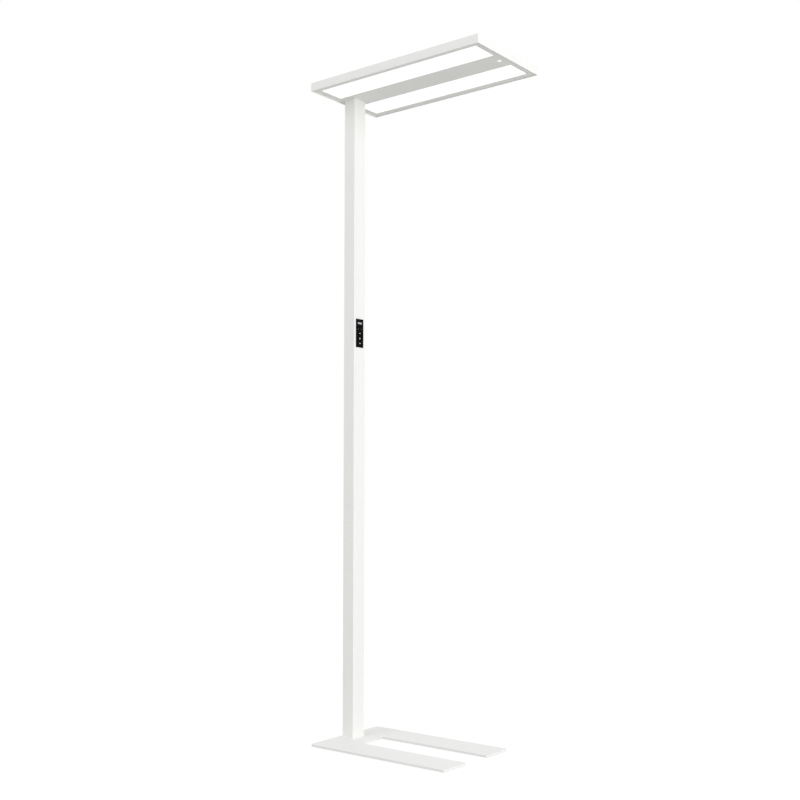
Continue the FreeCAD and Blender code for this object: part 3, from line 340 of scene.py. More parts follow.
def milled_aluminium(name, colour):
    """Milled aluminium with fine tool lines along Z."""
    shade = Shade(name)
    lines = shade.noise(0.4 * MM, 3.0, stretch=(1.0, 1.0, 14.0))
    tint = shade.mix(lines, rgba(colour, 0.86), rgba(colour, 1.04))
    rough = 0.28 + 0.14 * lines
    normal = shade.bump(lines, 0.012 * MM, 0.7)
    return shade.finish(base_color=tint, roughness=rough, metallic=1.0, normal=normal)


def matt_rubber(name, colour):
    """Matt rubber with a fine moulded grain and dust in it."""
    shade = Shade(name)
    grain = shade.noise(0.5 * MM, 3.0)
    dust = shade.noise(8 * MM, 3.0).power(3.0)
    tint = shade.mix(dust, rgba(colour), rgba((0.12, 0.12, 0.115)))
    normal = shade.bump(grain, 0.05 * MM, 0.8)
    return shade.finish(base_color=tint, roughness=0.75 + 0.15 * grain, normal=normal)


def gloss_black(name, colour):
    """Glossy black plastic: a clear smooth surface with faint smears in its roughness."""
    shade = Shade(name)
    smear = shade.noise(14 * MM, 3.0)
    fine = shade.noise(1.2 * MM, 2.0)
    tint = shade.mix(smear, rgba(colour, 0.8), rgba(colour, 1.4))
    rough = 0.16 + 0.10 * smear + 0.03 * fine
    normal = shade.bump(fine, 0.004 * MM, 0.4)
    return shade.finish(base_color=tint, roughness=rough, normal=normal, specular_ior_level=0.025)


def moulded_plastic(name, colour, rough=0.45):
    """Moulded plastic with a light spark-eroded grain and a slightly uneven tone."""
    shade = Shade(name)
    grain = shade.noise(0.6 * MM, 3.0)
    cloud = shade.noise(30 * MM, 2.0)
    tint = shade.mix(cloud, rgba(colour, 0.96), rgba(colour, 1.03))
    normal = shade.bump(grain, 0.02 * MM, 0.6)
    return shade.finish(base_color=tint, roughness=rough + 0.1 * grain, normal=normal)


def circuit_board(name, colour):
    """White solder mask with faint copper tracks under it and small resin specks."""
    shade = Shade(name)
    track_pitch = 3.2 * MM
    tracks = (shade.axis(1) * (WHOLE_TURN / track_pitch)).sine().at_least(0.0)
    speck = shade.noise(1.4 * MM, 2.0).power(4.0)
    masked = shade.mix(tracks * 0.25, rgba(colour), rgba((0.72, 0.75, 0.72)))
    tint = shade.mix(speck, masked, rgba((0.9, 0.78, 0.35)))
    normal = shade.bump(tracks, 0.03 * MM, 0.6)
    return shade.finish(base_color=tint, roughness=0.4 + 0.15 * speck, normal=normal)


def lit_diffuser(name, colour, glow):
    """Opal diffuser that shines evenly, a little less towards its ends and in faint clouds."""
    shade = Shade(name)
    grain = shade.noise(0.8 * MM, 2.0)
    soft = shade.noise(60 * MM, 2.0)
    half_length = 0.3
    end = (shade.axis(0) * (1.0 / half_length)).power(8.0)
    shine = shade.mix(soft * 0.5 + end * 0.6, rgba((1.0, 0.998, 0.99)), rgba((0.95, 0.948, 0.94)))
    normal = shade.bump(grain, 0.02 * MM, 0.5)
    return shade.finish(base_color=rgba(colour), roughness=0.35 + 0.08 * grain, normal=normal,
                        emission_color=shine, emission_strength=glow)


def smoked_glass(name, colour):
    """Smoked display pane, nearly black, with a faint film on it."""
    shade = Shade(name)
    film = shade.noise(9 * MM, 3.0)
    tint = shade.mix(film, rgba(colour, 0.7), rgba(colour, 1.3))
    return shade.finish(base_color=tint, roughness=0.1 + 0.06 * film, specular_ior_level=0.1)


def frosted_lens(name, colour):
    """Clear lens with fine lengthwise ribs, so that the strip under it shows as a soft band."""
    shade = Shade(name)
    rib_pitch = 2.4 * MM
    ribs = (shade.axis(1) * (WHOLE_TURN / rib_pitch)).sine() * 0.5 + 0.5
    haze = shade.noise(50 * MM, 2.0)
    tint = shade.mix(haze, rgba(colour, 0.97), rgba(colour, 1.0))
    normal = shade.bump(ribs, 0.2 * MM, 0.6)
    return shade.finish(base_color=tint, roughness=0.22 + 0.08 * ribs, normal=normal,
                        alpha=0.62 + 0.12 * ribs, emission_color=rgba((1.0, 0.99, 0.97)),
                        emission_strength=0.3)


def lens_with_painted_glow(name, colour):
    """Milky lens with a painted glow that stands in for the light of the diffusers beside it, so it
    looks brighter than the sheet."""
    shade = Shade(name)
    milk = shade.noise(1.5 * MM, 2.0)
    tint = shade.mix(milk, rgba(colour, 0.96), rgba(colour, 1.02))
    # painted glow: emission in place of the diffusers' light that the lens would pick up
    shine = shade.mix(milk, rgba((1.0, 1.0, 0.99), 0.92), rgba((1.0, 1.0, 0.99)))
    return shade.finish(base_color=tint, roughness=0.2 + 0.08 * milk, emission_color=shine,
                        emission_strength=0.36)


def printed_mark(name, colour):
    """Screen-printed ink with a slightly uneven film, faintly lit from behind."""
    shade = Shade(name)
    film = shade.noise(0.5 * MM, 2.0)
    tint = shade.mix(film, rgba(colour, 0.93), rgba(colour, 1.0))
    return shade.finish(base_color=tint, roughness=0.5 + 0.1 * film, emission_color=tint,
                        emission_strength=0.15)


def lit_segment(name, level):
    """A lit display step, slightly uneven in brightness."""
    shade = Shade(name)
    film = shade.noise(2.5 * MM, 2.0)
    tint = shade.mix(film, rgba((level, level, level), 0.9), rgba((level, level, level)))
    return shade.finish(base_color=rgba((0.2, 0.2, 0.2)), roughness=0.4 + 0.1 * film,
                        emission_color=tint, emission_strength=0.8)


def finishes(settings):
    """Every record slot with its material."""
    coat = tuple(settings.coat_colour)
    grain = settings.coat_grain
    panel = tuple(settings.panel_colour)
    return {
        "white_steel": powder_coat("white_steel", coat, grain * 1.2),
        "white_aluminium": powder_coat("white_aluminium", coat, grain),
        "white_sheet": powder_coat("white_sheet", coat, grain * 0.8),
        "rubber_black": matt_rubber("rubber_black", (0.03, 0.03, 0.03)),
        "zinc_steel": plated_steel("zinc_steel", (0.62, 0.63, 0.64)),
        "bare_aluminium": milled_aluminium("bare_aluminium", (0.78, 0.79, 0.8)),
        "lead_sheath": moulded_plastic("lead_sheath", (0.8, 0.8, 0.78), 0.4),
        "panel_black": gloss_black("panel_black", panel),
        "key_black": gloss_black("key_black", tuple(1.3 * part for part in panel)),
        "display_glass": smoked_glass("display_glass", (0.006, 0.006, 0.007)),
        "circuit_board": circuit_board("circuit_board", (0.85, 0.86, 0.85)),
        "module_plastic": moulded_plastic("module_plastic", (0.05, 0.05, 0.055)),
        "white_plastic": moulded_plastic("white_plastic", (0.85, 0.85, 0.83)),
        "tray_white": moulded_plastic("tray_white", (0.93, 0.93, 0.93), 0.35),
        "clear_lens": frosted_lens("clear_lens", (0.62, 0.62, 0.615)),
        "diffuser": lit_diffuser("diffuser", (0.45, 0.45, 0.447), settings.glow),
        "driver_case": moulded_plastic("driver_case", (0.9, 0.9, 0.88), 0.5),
        "sensor_lens": lens_with_painted_glow("sensor_lens", (0.95, 0.95, 0.94)),
    }


# ---------------------------------------------------------------- surfaces

def points_of(mesh):
    """A mesh's vertices as an array of (x, y, z) rows."""
    points = np.empty(len(mesh.vertices) * 3)
    mesh.vertices.foreach_get("co", points)
    return points.reshape(-1, 3)


def grid_mesh(name, points, closed_u=False, closed_v=False):
    """A mesh from a grid of points (rows, columns, 3): each cell of the grid is one quad."""
    rows, columns = points.shape[:2]
    number = np.arange(rows * columns).reshape(rows, columns)
    if closed_u:
        number = np.vstack([number, number[:1]])
    if closed_v:
        number = np.hstack([number, number[:, :1]])
    quads = np.stack([number[:-1, :-1], number[:-1, 1:], number[1:, 1:], number[1:, :-1]], axis=-1)
    mesh = bpy.data.meshes.new(name)
    mesh.from_pydata(points.reshape(-1, 3).tolist(), [], quads.reshape(-1, 4).tolist())
    mesh.update()
    return mesh


def joined(name, meshes):
    """One mesh of several, with the points that coincide merged and the faces turned outwards."""
    work = bmesh.new()
    for mesh in meshes:
        work.from_mesh(mesh)
        bpy.data.meshes.remove(mesh)
    bmesh.ops.remove_doubles(work, verts=work.verts, dist=1e-7)
    degenerate = [face for face in work.faces if face.calc_area() < 1e-14]
    bmesh.ops.delete(work, geom=degenerate, context="FACES")
    bmesh.ops.recalc_face_normals(work, faces=work.faces)
    mesh = bpy.data.meshes.new(name)
    work.to_mesh(mesh)
    work.free()
    return mesh


def piece(name, mesh, body, material, smooth=True):
    """An object for a mesh that is already in place, riding on a body. Its faces are smooth, flat,
    or with None as the mesh has them."""
    thing = bpy.data.objects.new(name, mesh)
    bpy.context.scene.collection.objects.link(thing)
    mesh.materials.append(material)
    if smooth is not None:
        mesh.polygons.foreach_set("use_smooth", [smooth] * len(mesh.polygons))
    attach(thing, body)
    return thing


def pillow_bar(name, centre, size, height, around=24, rise=4):
    """A raised bar on a panel that faces +X: a superellipse of the size in Y and Z, whose rings
    shrink towards the top as a quarter circle, closed by a middle point."""
    turn = np.linspace(0.0, WHOLE_TURN, around, endpoint=False)
    cosine, sine = np.cos(turn), np.sin(turn)
    squareness = 0.35
    outline_y = 0.5 * size[0] * np.sign(cosine) * np.abs(cosine) ** squareness
    outline_z = 0.5 * size[1] * np.sign(sine) * np.abs(sine) ** squareness
    level = np.linspace(0.0, 0.5 * np.pi, rise)
    edge = 0.25 * min(size)
    shrink_y = 1.0 - (1.0 - np.cos(level)) * edge / (0.5 * size[0])
    shrink_z = 1.0 - (1.0 - np.cos(level)) * edge / (0.5 * size[1])
    rings = np.empty((rise + 2, around, 3))
    rings[0] = centre
    rings[1:-1, :, 0] = centre[0] + height * np.sin(level)[:, None]
    rings[1:-1, :, 1] = centre[1] + shrink_y[:, None] * outline_y
    rings[1:-1, :, 2] = centre[2] + shrink_z[:, None] * outline_z
    rings[-1] = (centre[0] + height, centre[1], centre[2])
    return grid_mesh(name, rings, closed_v=True)


def ring_bar(name, centre, radius, stroke, height, start=0.0, end=WHOLE_TURN, around=28):
    """A raised arc on a panel that faces +X: a half-round section of the stroke's width swept
    along a circle from one angle to another, closed at both ends and underneath."""
    whole = end - start >= WHOLE_TURN - 1e-6
    turn = np.linspace(start, end, around, endpoint=not whole)
    section = np.linspace(0.0, np.pi, 7)
    across = np.concatenate([0.5 * stroke * np.cos(section), [0.0]])
    up = np.concatenate([height * np.sin(section), [0.0]])
    reach = radius + across[None, :]
    points = np.empty((around, across.size, 3))
    points[..., 0] = centre[0] + up[None, :]
    points[..., 1] = centre[1] + reach * np.sin(turn)[:, None]
    points[..., 2] = centre[2] + reach * np.cos(turn)[:, None]
    if not whole:
        caps = points.mean(axis=1)
        first = np.repeat(caps[:1, None], across.size, axis=1)
        last = np.repeat(caps[-1:, None], across.size, axis=1)
        points = np.concatenate([first, points, last])
    return grid_mesh(name, points, closed_u=whole, closed_v=True)


def lens_dome(name, centre, radius, drop, facets=14, rings=6):
    """A lens that hangs down: a spherical cap of the drop below its centre, cut into facets, each
    facet bulging a little by a raised cosine in both directions, with a short collar above."""
    bulge_height, collar_height = 0.09 * MM, 2.0 * MM
    ball = (radius ** 2 + drop ** 2) / (2.0 * drop)
    steps_round, steps_out = facets * 4, rings * 4
    turn = np.linspace(0.0, WHOLE_TURN, steps_round, endpoint=False)
    out = np.linspace(0.0, 1.0, steps_out + 1)
    sag = np.sqrt(ball ** 2 - (radius * out) ** 2) - (ball - drop)
    lobes_round = 0.5 - 0.5 * np.cos(turn * facets)
    lobes_out = (0.5 - 0.5 * np.cos(out * rings * WHOLE_TURN)) * np.minimum(out * 3.0, 1.0)
    reach = radius * np.concatenate([out, [COLLAR_REACH, COLLAR_REACH]])
    rows = np.empty((steps_out + 3, steps_round, 3))
    rows[:, :, 0] = centre[0] + reach[:, None] * np.cos(turn)
    rows[:, :, 1] = centre[1] + reach[:, None] * np.sin(turn)
    rows[:-2, :, 2] = centre[2] - sag[:, None] - bulge_height * lobes_out[:, None] * lobes_round
    rows[-2, :, 2] = centre[2]
    rows[-1, :, 2] = centre[2] + collar_height
    lid = np.empty((2, steps_round, 3))
    lid[0] = rows[-1]
    lid[1] = (centre[0], centre[1], centre[2] + collar_height)
    return joined(name, [grid_mesh(name, rows, closed_v=True), grid_mesh(name, lid, closed_v=True)])


def turned(name, profile, axis, around=48):
    """A profile of (radius, level) points turned about an axis, as (place, direction): each ring is
    the place plus level times the direction plus radius times a turning unit vector. The ends
    close on the axis."""
    place, direction = (np.array(part, dtype=float) for part in axis)
    side = np.cross(direction, (0.0, 1.0, 0.0) if abs(direction[1]) < 0.9 else (1.0, 0.0, 0.0))
    side /= np.linalg.norm(side)
    other = np.cross(direction, side)
    turn = np.linspace(0.0, WHOLE_TURN, around, endpoint=False)
    spokes = np.cos(turn)[:, None] * side + np.sin(turn)[:, None] * other
    radius, level = np.array(profile, dtype=float).T
    rings = place + level[:, None, None] * direction + radius[:, None, None] * spokes
    return grid_mesh(name, rings, closed_v=True)


def socket_screw(name, place, direction, radius, height, sides=6, around=48):
    """A screw head that stands off a surface: its rim is a quarter circle down to the surface, and
    its hexagon socket has the polar radius r / cos(angle from the nearest flat's middle), blended
    to the round rim ring by ring."""
    turn = np.linspace(0.0, WHOLE_TURN, around, endpoint=False)
    flat = (turn + np.pi / sides) % (WHOLE_TURN / sides) - np.pi / sides
    socket = 0.5 * radius / np.cos(flat)
    rim = 0.3 * height
    bend = np.linspace(0.0, 0.5 * np.pi, 5)
    rings_out = [(radius, 0.0)]
    rings_out += [(radius - rim + rim * np.cos(step), height - rim + rim * np.sin(step))
                  for step in bend]
    rings_out += [(0.72 * radius, height)]
    rings_in = [(1.06, height), (1.0, 0.9 * height), (1.0, 0.35 * height), (0.3, 0.18 * height),
                (0.0, 0.16 * height)]
    reach = np.array([np.full(around, ring) for ring, _ in rings_out]
                     + [share * socket for share, _ in rings_in])
    level = np.array([height_of for _, height_of in rings_out + rings_in])
    direction = np.array(direction, dtype=float)
    side = np.cross(direction, (0.0, 1.0, 0.0))
    other = np.cross(direction, side)
    spokes = np.cos(turn)[:, None] * side + np.sin(turn)[:, None] * other
    rings = np.array(place) + level[:, None, None] * direction + reach[..., None] * spokes
    bottom = np.stack([rings[0], np.broadcast_to(np.array(place), rings[0].shape)])
    return [grid_mesh(name, rings, closed_v=True), grid_mesh(name, bottom, closed_v=True)]


def prism_sheet(name, low, high, pitch, depth, face_down=True, lengthwise_only=False):
    """A clear or opal sheet whose one face is a field of prisms: the face's level is the depth
    times the mean (or, with ribs only along X, the single value) of |sin(pi x / pitch)| and
    |sin(pi y / pitch)|, and the other face and the edges are plain."""
    low, high = np.array(low), np.array(high)
    count = np.maximum(np.round((high - low)[:2] / pitch).astype(int), 1)
    steps = (1 if lengthwise_only else count[0] * STEPS_PER_PRISM, count[1] * STEPS_PER_PRISM)
    u = np.linspace(low[0], high[0], steps[0] + 1)
    v = np.linspace(low[1], high[1], steps[1] + 1)
    wave_v = np.abs(np.sin(np.pi * (v - low[1]) / (high[1] - low[1]) * count[1]))
    wave_u = np.abs(np.sin(np.pi * (u - low[0]) / (high[0] - low[0]) * count[0]))
    wave = np.broadcast_to(wave_v, (u.size, v.size)) if lengthwise_only else (
        0.5 * (wave_u[:, None] + wave_v[None, :]))
    field = np.empty((u.size, v.size, 3))
    field[..., 0] = u[:, None]
    field[..., 1] = v[None, :]
    field[..., 2] = low[2] + depth * (1.0 - wave) if face_down else high[2] - depth * (1.0 - wave)
    back = high[2] if face_down else low[2]
    meshes = [grid_mesh(name, field)]
    border = np.concatenate([field[:, 0], field[-1, 1:], field[-2::-1, -1], field[0, -2:0:-1]])
    far = border.copy()
    far[:, 2] = back
    meshes.append(grid_mesh(name, np.stack([border, far]), closed_v=True))
    centre = np.broadcast_to(np.array([*(low[:2] + high[:2]) / 2, back]), far.shape)
    meshes.append(grid_mesh(name, np.stack([far, centre]), closed_v=True))
    return joined(name, meshes)


def rounded_loop(middle, half_y, half_z, radius, level):
    """Points of a rounded rectangle in a plane across X: each quadrant is a quarter circle of the
    radius about its corner's centre, and the sides are the straight runs between them."""
    turn = np.linspace(0.0, 0.5 * np.pi, 8) + 0.5 * np.pi * np.arange(4)[:, None]
    sign_y = np.sign(np.cos(turn.mean(axis=1)))[:, None]
    sign_z = np.sign(np.sin(turn.mean(axis=1)))[:, None]
    y = middle[1] + sign_y * (half_y - radius) + radius * np.cos(turn)
    z = middle[2] + sign_z * (half_z - radius) + radius * np.sin(turn)
    return np.stack([np.full(y.size, level), y.ravel(), z.ravel()], axis=-1)


def key_collar(name, node, gap, radius, face, depth):
    """A collar that fills a key's square hole up to the key's rounded outline: four loops, outer
    and inner in front and outer and inner behind, joined ring by ring."""
    low, high = cap_box(node)
    middle = (low + high) / 2
    half = (high - low) / 2
    outer = [half[1] + 2 * gap, half[2] + 2 * gap, 0.02 * radius]
    inner = [half[1] + gap, half[2] + gap, radius + gap]
    rings = np.stack([rounded_loop(middle, *outer, face), rounded_loop(middle, *inner, face),
                      rounded_loop(middle, *inner, face - depth),
                      rounded_loop(middle, *outer, face - depth)])
    return grid_mesh(name, rings, closed_u=True, closed_v=True)


def cap_box(node):
    """Lowest and highest corner of a key's cap, which is what stands ahead of its rim."""
    points = points_of(NODES[node].data)
    front = points[:, 0].max()
    cap = points[points[:, 0] > front - 0.1 * MM]     # points on the front face
    return cap.min(axis=0), cap.max(axis=0)


def wider_back_corners(points, radius):
    """The base plate's two back corners on a larger arc: a point of the old arc keeps its turn
    about the arc's centre, and both centre and reach move to the new radius."""
    back = points[:, 0].min()
    edge = points[:, 1].max()
    inward = points[:, 0] - back
    beside = edge - np.abs(points[:, 1])
    on_arc = np.maximum(inward, beside) < CAD_CORNER + 0.01 * MM
    turn = np.arctan2(CAD_CORNER - beside, CAD_CORNER - inward)
    moved = points.copy()
    moved[:, 0] = back + radius - radius * np.cos(turn)
    moved[:, 1] = np.sign(points[:, 1]) * (edge - radius + radius * np.sin(turn))
    return np.where(on_arc[:, None], moved, points)


def softened(name, node, body, width, segments=2, reshape=None):
    """A copy of a CAD node with its doubles merged and its flat faces whole again, whose sharp
    edges are cut back by the width and rounded. Bevels and small faces are smooth, large ones
    flat. Reshape moves its points first. It replaces the node."""
    source = NODES[node]
    mesh = source.data.copy()
    mesh.name = name
    if reshape:
        mesh.vertices.foreach_set("co", reshape(points_of(mesh)).ravel())
    work = bmesh.new()
    work.from_mesh(mesh)
    bmesh.ops.remove_doubles(work, verts=work.verts, dist=1e-6)
    bmesh.ops.dissolve_limit(work, angle_limit=math.radians(1.0), verts=work.verts,
                             edges=work.edges)
    sharp = [edge for edge in work.edges
             if len(edge.link_faces) == 2 and edge.calc_face_angle() > SHARP_EDGE]
    rounded = bmesh.ops.bevel(work, geom=sharp, offset=width, offset_type="OFFSET",
                              segments=segments, profile=0.5, affect="EDGES", clamp_overlap=True)
    for face in work.faces:
        face.smooth = face.calc_area() < SMALL_FACE
    for face in rounded["faces"]:
        face.smooth = True
    work.to_mesh(mesh)
    work.free()
    mesh.materials.clear()
    copy = piece(name, mesh, body, source.data.materials[0], None)
    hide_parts(node)


def front_of(node):
    """Middle of a CAD node's +X face, in metres."""
    low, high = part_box(node)
    middle = (Vector(low) + Vector(high)) / 2
    return Vector((high[0], middle[1], middle[2]))


def heads_of(node, direction):
    """Where the heads of a screw node sit, as (middle of the seat, radius, height): the node's
    points are grouped by screw, and a head's points are those further from the screw's line."""
    points = points_of(NODES[node].data)
    level = points @ direction
    across = points - level[:, None] * direction
    top = level.max()
    left = np.ones(len(points), dtype=bool)
    heads = []
    while left.any():
        first = across[np.argmax(left)]
        mine = left & (np.linalg.norm(across - first, axis=1) < SCREW_REACH)
        left &= ~mine
        flat = across[mine]
        middle = (flat.min(axis=0) + flat.max(axis=0)) / 2
        radius = np.linalg.norm(flat - middle, axis=1)
        outer = radius > 0.98 * radius.max()     # the head's rim, apart from rounding
        seat = level[mine][outer].min()
        heads.append((middle + seat * direction, radius.max(), top - seat))
    return heads


def arrow_mark(name, centre, size, stroke, height, way):
    """A chevron of two bars that points up (way 1) or down (way -1): a bar along Y is turned by
    the slant about X, so that y is y cos - z sin and z is y sin + z cos, and moved aside."""
    meshes = []
    for side in (-1.0, 1.0):
        bar = pillow_bar(name, (0.0, 0.0, 0.0), (0.72 * size, stroke), height)
        x, y, z = points_of(bar).T
        slant = math.radians(38.0) * side * -way
        points = np.stack([x + centre[0],
                           y * math.cos(slant) - z * math.sin(slant) + centre[1]
                           + side * 0.25 * size,
                           y * math.sin(slant) + z * math.cos(slant) + centre[2]], axis=-1)
        bar.vertices.foreach_set("co", points.ravel())
        meshes.append(bar)
    return joined(name, meshes)


# ---------------------------------------------------------------- operators

class LAMP_OT_finishes(bpy.types.Operator):
    """Give every sub-part the finish of its slot"""
    bl_idname = "lamp.finishes"
    bl_label = "Finishes"

    def execute(self, context):
        made = finishes(context.scene.lamp_finish)
        for node, slot_name in SLOTS.items():
            mesh = NODES[node].data
            mesh.materials.clear()
            mesh.materials.append(made[slot_name])
        return {"FINISHED"}


class LAMP_OT_key_marks(bpy.types.Operator):
    """Print a plain mark on each key"""
    bl_idname = "lamp.key_marks"
    bl_label = "Key marks"

    def execute(self, context):
        sizes = context.scene.lamp_marks
        bright = printed_mark("mark_bright", tuple(context.scene.lamp_finish.mark_colour))
        dim = printed_mark("mark_dim", (0.06, 0.06, 0.06))
        size, stroke, height = sizes.mark_size, sizes.mark_stroke, sizes.mark_height
        marks = {
            "key_up": arrow_mark("mark_up", front_of("key_up"), size, stroke, height, 1.0),
            "key_down": arrow_mark("mark_down", front_of("key_down"), size, stroke, height, -1.0),
        }
        centre = front_of("key_power")
        opening = math.radians(35.0)
        ring = ring_bar("mark_power", centre, 0.38 * size, stroke * 0.8, height, opening,
                        WHOLE_TURN - opening)
        bar_place = (centre[0], centre[1], centre[2] + 0.32 * size)
        bar = pillow_bar("mark_power", bar_place, (stroke * 0.8, 0.42 * size), height)
        marks["key_power"] = joined("mark_power", [ring, bar])
        for node, mesh in marks.items():
            piece(mesh.name, mesh, node, bright)
        for node, name in (("key_left", "mark_left"), ("key_right", "mark_right")):
            centre = front_of(node)
            outer = ring_bar(name, centre, 0.30 * size, stroke * 0.7, height)
            dot = pillow_bar(name, tuple(centre), (stroke, stroke), height)
            piece(name, joined(name, [outer, dot]), node, dim)
        return {"FINISHED"}


class LAMP_OT_display_bar(bpy.types.Operator):
    """Light the display's level bar, a row of equal steps"""
    bl_idname = "lamp.display_bar"
    bl_label = "Display bar"

    def execute(self, context):
        sizes = context.scene.lamp_marks
        centre = front_of("display_window")
        pitch = sizes.bar_width / sizes.bar_steps
        lit_share = 0.72
        meshes = []
        for step in range(sizes.bar_steps):
            place = (centre[0], centre[1] + (step + 0.5) * pitch - sizes.bar_width / 2, centre[2])
            meshes.append(pillow_bar("display_bar", place, (lit_share * pitch, sizes.bar_height),
                                     sizes.mark_height))
        piece("display_bar", joined("display_bar", meshes), "root",
              lit_segment("lit_segment", 0.5))
        return {"FINISHED"}


class LAMP_OT_soft_edges(bpy.types.Operator):
    """Round the edges of the coated plates and profiles, the key panel and the keys"""
    bl_idname = "lamp.soft_edges"
    bl_label = "Soft edges"

    def execute(self, context):
        width = context.scene.lamp_finish.edge_radius
        shares = {"base_plate": 1.5, "frame_left": 1.0, "frame_right": 1.0, "frame_front": 1.0,
                  "frame_rear": 1.0, "top_cover": 0.8, "panel_housing": 0.5}
        shares.update({name: 0.5 for name in BODIES if name != "root"})
        corner = context.scene.lamp_finish.plate_corner
        reshapes = {"base_plate": lambda points: wider_back_corners(points, corner)}
        for node, share in shares.items():
            body = node if node in BODIES else "root"
            softened(node + "_soft", node, body, share * width,
                     reshape=reshapes.get(node))
        return {"FINISHED"}


class LAMP_OT_key_collars(bpy.types.Operator):
    """Fit a collar with rounded corners into each key's hole"""
    bl_idname = "lamp.key_collars"
    bl_label = "Key collars"

    def execute(self, context):
        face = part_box("panel_housing")[1][0]
        gap, corner, depth = 0.1 * MM, 1.8 * MM, 1.5 * MM
        meshes = [key_collar("key_collars", node, gap, corner, face, depth)
                  for node in BODIES if node != "root"]
        piece("key_collars", joined("key_collars", meshes), "root",
              NODES["panel_housing"].data.materials[0], False)
        return {"FINISHED"}


class LAMP_OT_diffusers(bpy.types.Operator):
    """Put prism sheets in place of the two plain diffusers and ribbed lenses on the top"""
    bl_idname = "lamp.diffusers"
    bl_label = "Diffusers"

    def execute(self, context):
        finish = context.scene.lamp_finish
        for side in ("left", "right"):
            node = f"diffuser_{side}"
            mesh = prism_sheet(f"{node}_prisms", *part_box(node), finish.prism_pitch,
                               finish.prism_depth)
            sheet = piece(mesh.name, mesh, "root", NODES[node].data.materials[0],
                          False)
            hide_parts(node)
            node = f"up_lens_{side}"
            mesh = prism_sheet(f"{node}_ribs", *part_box(node), 0.5 * finish.prism_pitch,
                               0.6 * finish.prism_depth, face_down=False, lengthwise_only=True)
            lens = piece(mesh.name, mesh, "root", NODES[node].data.materials[0],
                         False)
            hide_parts(node)
        return {"FINISHED"}


class LAMP_OT_screw_heads(bpy.types.Operator):
    """Give the screws that show their rounded heads with sockets"""
    bl_idname = "lamp.screw_heads"
    bl_label = "Screw heads"

    def execute(self, context):
        directions = {"foot_block_screws": (-1, 0, 0), "top_block_screws": (-1, 0, 0),
                      "cover_screws": (0, 0, 1), "base_bolts": (0, 0, -1)}
        for node, direction in directions.items():
            meshes = []
            for place, radius, height in heads_of(node, np.array(direction, dtype=float)):
                meshes += socket_screw(node, place, direction, radius, height)
            heads = piece(node + "_heads", joined(node + "_heads", meshes), "root",
                          NODES[node].data.materials[0])
            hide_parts(node)
        return {"FINISHED"}


class LAMP_OT_inlet_grommet(bpy.types.Operator):
    """Turn the cord inlet's grommet with a rounded lip"""
    bl_idname = "lamp.inlet_grommet"
    bl_label = "Inlet grommet"

    def execute(self, context):
        node = "cord_inlet_grommet"
        low, high = (np.array(corner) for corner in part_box(node))
        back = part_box("column")[0][0]
        lip = back - low[0]
        flange = (high[1] - low[1]) / 2
        bend = np.linspace(0.0, 0.5 * np.pi, 6)
        sleeve, bore = 0.69 * flange, 0.42 * flange
        curl = 0.5 * lip
        outer = [(flange - lip + lip * np.cos(step), lip * np.sin(step)) for step in bend]
        inner = [(bore + curl - curl * np.sin(step), lip - curl + curl * np.cos(step))
                 for step in bend]
        depth = back - high[0]
        profile = [(sleeve, depth), (sleeve, 0.0), *outer, *inner, (bore, depth), (sleeve, depth)]
        middle = (low + high) / 2
        axis = ((back, middle[1], middle[2]), (-1.0, 0.0, 0.0))
        mesh = joined("inlet_grommet_lip", [turned("inlet_grommet_lip", profile, axis)])
        grommet = piece(mesh.name, mesh, "root", NODES[node].data.materials[0])
        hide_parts(node)
        return {"FINISHED"}


class LAMP_OT_sensor_dome(bpy.types.Operator):
    """Put the faceted dome in place of the sensor's plain lens"""
    bl_idname = "lamp.sensor_dome"
    bl_label = "Sensor dome"

    def execute(self, context):
        low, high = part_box("sensor_lens")
        face_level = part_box("face_sheet")[0][2]
        drop = face_level - low[2]
        radius = (high[0] - low[0]) / 2 / LENS_REACH
        centre = ((low[0] + high[0]) / 2, (low[1] + high[1]) / 2, face_level)
        mesh = lens_dome("sensor_dome", centre, radius, drop)
        material = NODES["sensor_lens"].data.materials[0]
        dome = piece("sensor_dome", mesh, "root", material)
        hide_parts("sensor_lens")
        return {"FINISHED"}


def studio_floor(studio):
    """A floor that shows white and keeps a little of the shadow, and throws back a pale grey."""
    mesh = bpy.data.meshes.new("floor")
    half = studio.floor_size
    mesh.from_pydata([(-half, -half, 0), (half, -half, 0), (half, half, 0), (-half, half, 0)], [],
                     [(0, 1, 2, 3)])
    floor = bpy.data.objects.new("floor", mesh)
    bpy.context.scene.collection.objects.link(floor)
    white = (1.0, 1.0, 1.0, 1.0)
    shade = Shade("floor_white")
    pale = shade.node("ShaderNodeBsdfDiffuse", None, {"Color": rgba(studio.floor_colour)})
    bright = shade.node("ShaderNodeBsdfDiffuse", None, {"Color": white})
    glow = shade.node("ShaderNodeEmission", None,
                      {"Color": white, "Strength": studio.floor_white})
    shown = shade.node("ShaderNodeMixShader", None, [studio.floor_shadow, glow, bright])
    shade.surface(shade.node("ShaderNodeMixShader", None, [shade.seen(), pale, shown]))
    mesh.materials.append(shade.material)


def studio_sky(strength):
    """An even light from all round, which the camera and reflections see as white."""
    world = bpy.data.worlds.new("studio_sky")
    bpy.context.scene.world = world
    world.use_nodes = True
    sky = Nodes(world.node_tree)
    white = (1.0, 1.0, 1.0, 1.0)
    even = sky.node("ShaderNodeBackground", None, {"Color": white, "Strength": strength})
    shown = sky.node("ShaderNodeBackground", None, {"Color": white, "Strength": 1.0})
    choice = sky.node("ShaderNodeMixShader", None, [sky.seen(), even, shown])
    sky.node("ShaderNodeOutputWorld", None, {"Surface": choice})


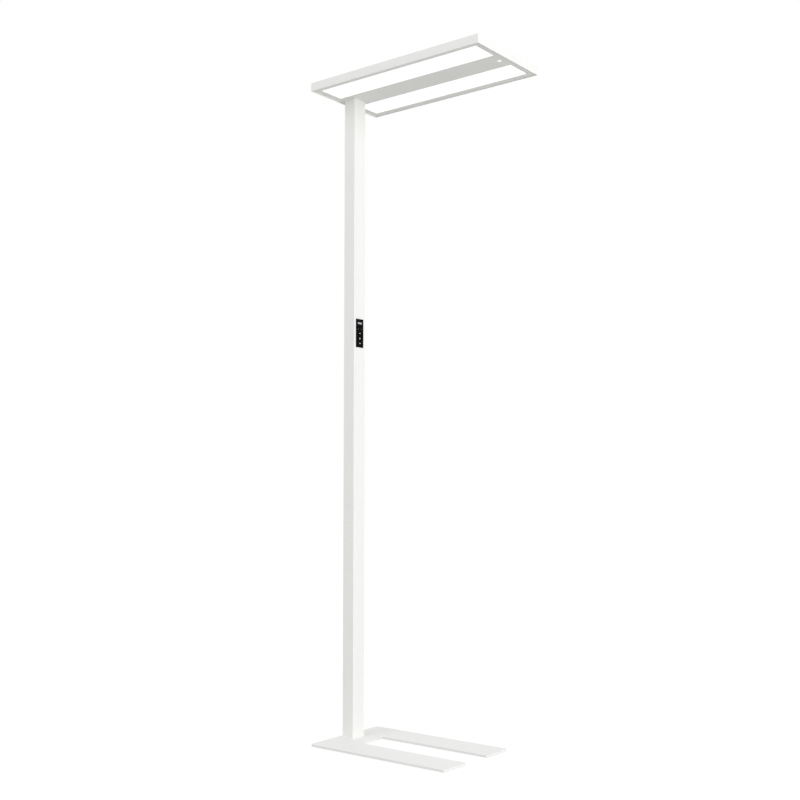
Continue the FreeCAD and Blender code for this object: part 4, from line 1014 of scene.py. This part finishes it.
def soft_box(name, place, target, size, power):
    """A square soft light at a place, turned to a target."""
    light = bpy.data.lights.new(name, "AREA")
    light.size = size
    light.energy = power
    lamp = bpy.data.objects.new(name, light)
    bpy.context.scene.collection.objects.link(lamp)
    lamp.location = place
    lamp.rotation_euler = (Vector(target) - Vector(place)).to_track_quat("-Z", "Y").to_euler()
    lamp.visible_camera = False


class LAMP_OT_studio(bpy.types.Operator):
    """Set up the white studio: floor, sky, two soft lights and the camera"""
    bl_idname = "lamp.studio"
    bl_label = "Studio"

    def execute(self, context):
        studio = context.scene.lamp_studio
        studio_floor(studio)
        studio_sky(studio.sky)
        soft_box("side_light", studio.side_place, studio.side_target, studio.side_size,
                 studio.side_power)
        soft_box("front_light", studio.front_place, studio.front_target, studio.front_size,
                 studio.front_power)
        camera = bpy.data.cameras.new("camera")
        camera.lens = studio.lens
        camera.sensor_width = 36.0
        camera.clip_start = 0.05
        camera.clip_end = 100.0
        viewer = bpy.data.objects.new("camera", camera)
        context.scene.collection.objects.link(viewer)
        viewer.location = studio.camera_place
        viewer.rotation_euler = (math.radians(90.0) + studio.camera_tilt, 0.0, studio.camera_turn)
        context.scene.camera = viewer
        context.scene.view_settings.view_transform = "Standard"
        return {"FINISHED"}


class LAMP_PT_panel(bpy.types.Panel):
    """The lamp's operators and settings in the sidebar"""
    bl_idname = "LAMP_PT_panel"
    bl_label = "Floor Lamp"
    bl_space_type = "VIEW_3D"
    bl_region_type = "UI"
    bl_category = "Floor Lamp"

    def draw(self, context):
        column = self.layout.column()
        scene = context.scene
        for operator in OPERATORS:
            column.operator(operator.bl_idname)
        for group in (scene.lamp_finish, scene.lamp_marks, scene.lamp_studio):
            for name in group.__annotations__:
                column.prop(group, name)


OPERATORS = (
    LAMP_OT_studio,
    LAMP_OT_finishes,
    LAMP_OT_soft_edges,
    LAMP_OT_key_collars,
    LAMP_OT_diffusers,
    LAMP_OT_screw_heads,
    LAMP_OT_inlet_grommet,
    LAMP_OT_key_marks,
    LAMP_OT_display_bar,
    LAMP_OT_sensor_dome,
)
GROUPS = (LampFinish, LampMarks, LampStudio)


def register():
    for entry in GROUPS + OPERATORS + (LAMP_PT_panel,):
        bpy.utils.register_class(entry)
    bpy.types.Scene.lamp_finish = PointerProperty(type=LampFinish)
    bpy.types.Scene.lamp_marks = PointerProperty(type=LampMarks)
    bpy.types.Scene.lamp_studio = PointerProperty(type=LampStudio)


def unregister():
    del bpy.types.Scene.lamp_studio
    del bpy.types.Scene.lamp_marks
    del bpy.types.Scene.lamp_finish
    for entry in reversed(GROUPS + OPERATORS + (LAMP_PT_panel,)):
        bpy.utils.unregister_class(entry)


def main():
    """Dress the lamp."""
    register()
    for operator in OPERATORS:
        category, name = operator.bl_idname.split(".")
        getattr(getattr(bpy.ops, category), name)()


if __name__ == "__main__":
    main()
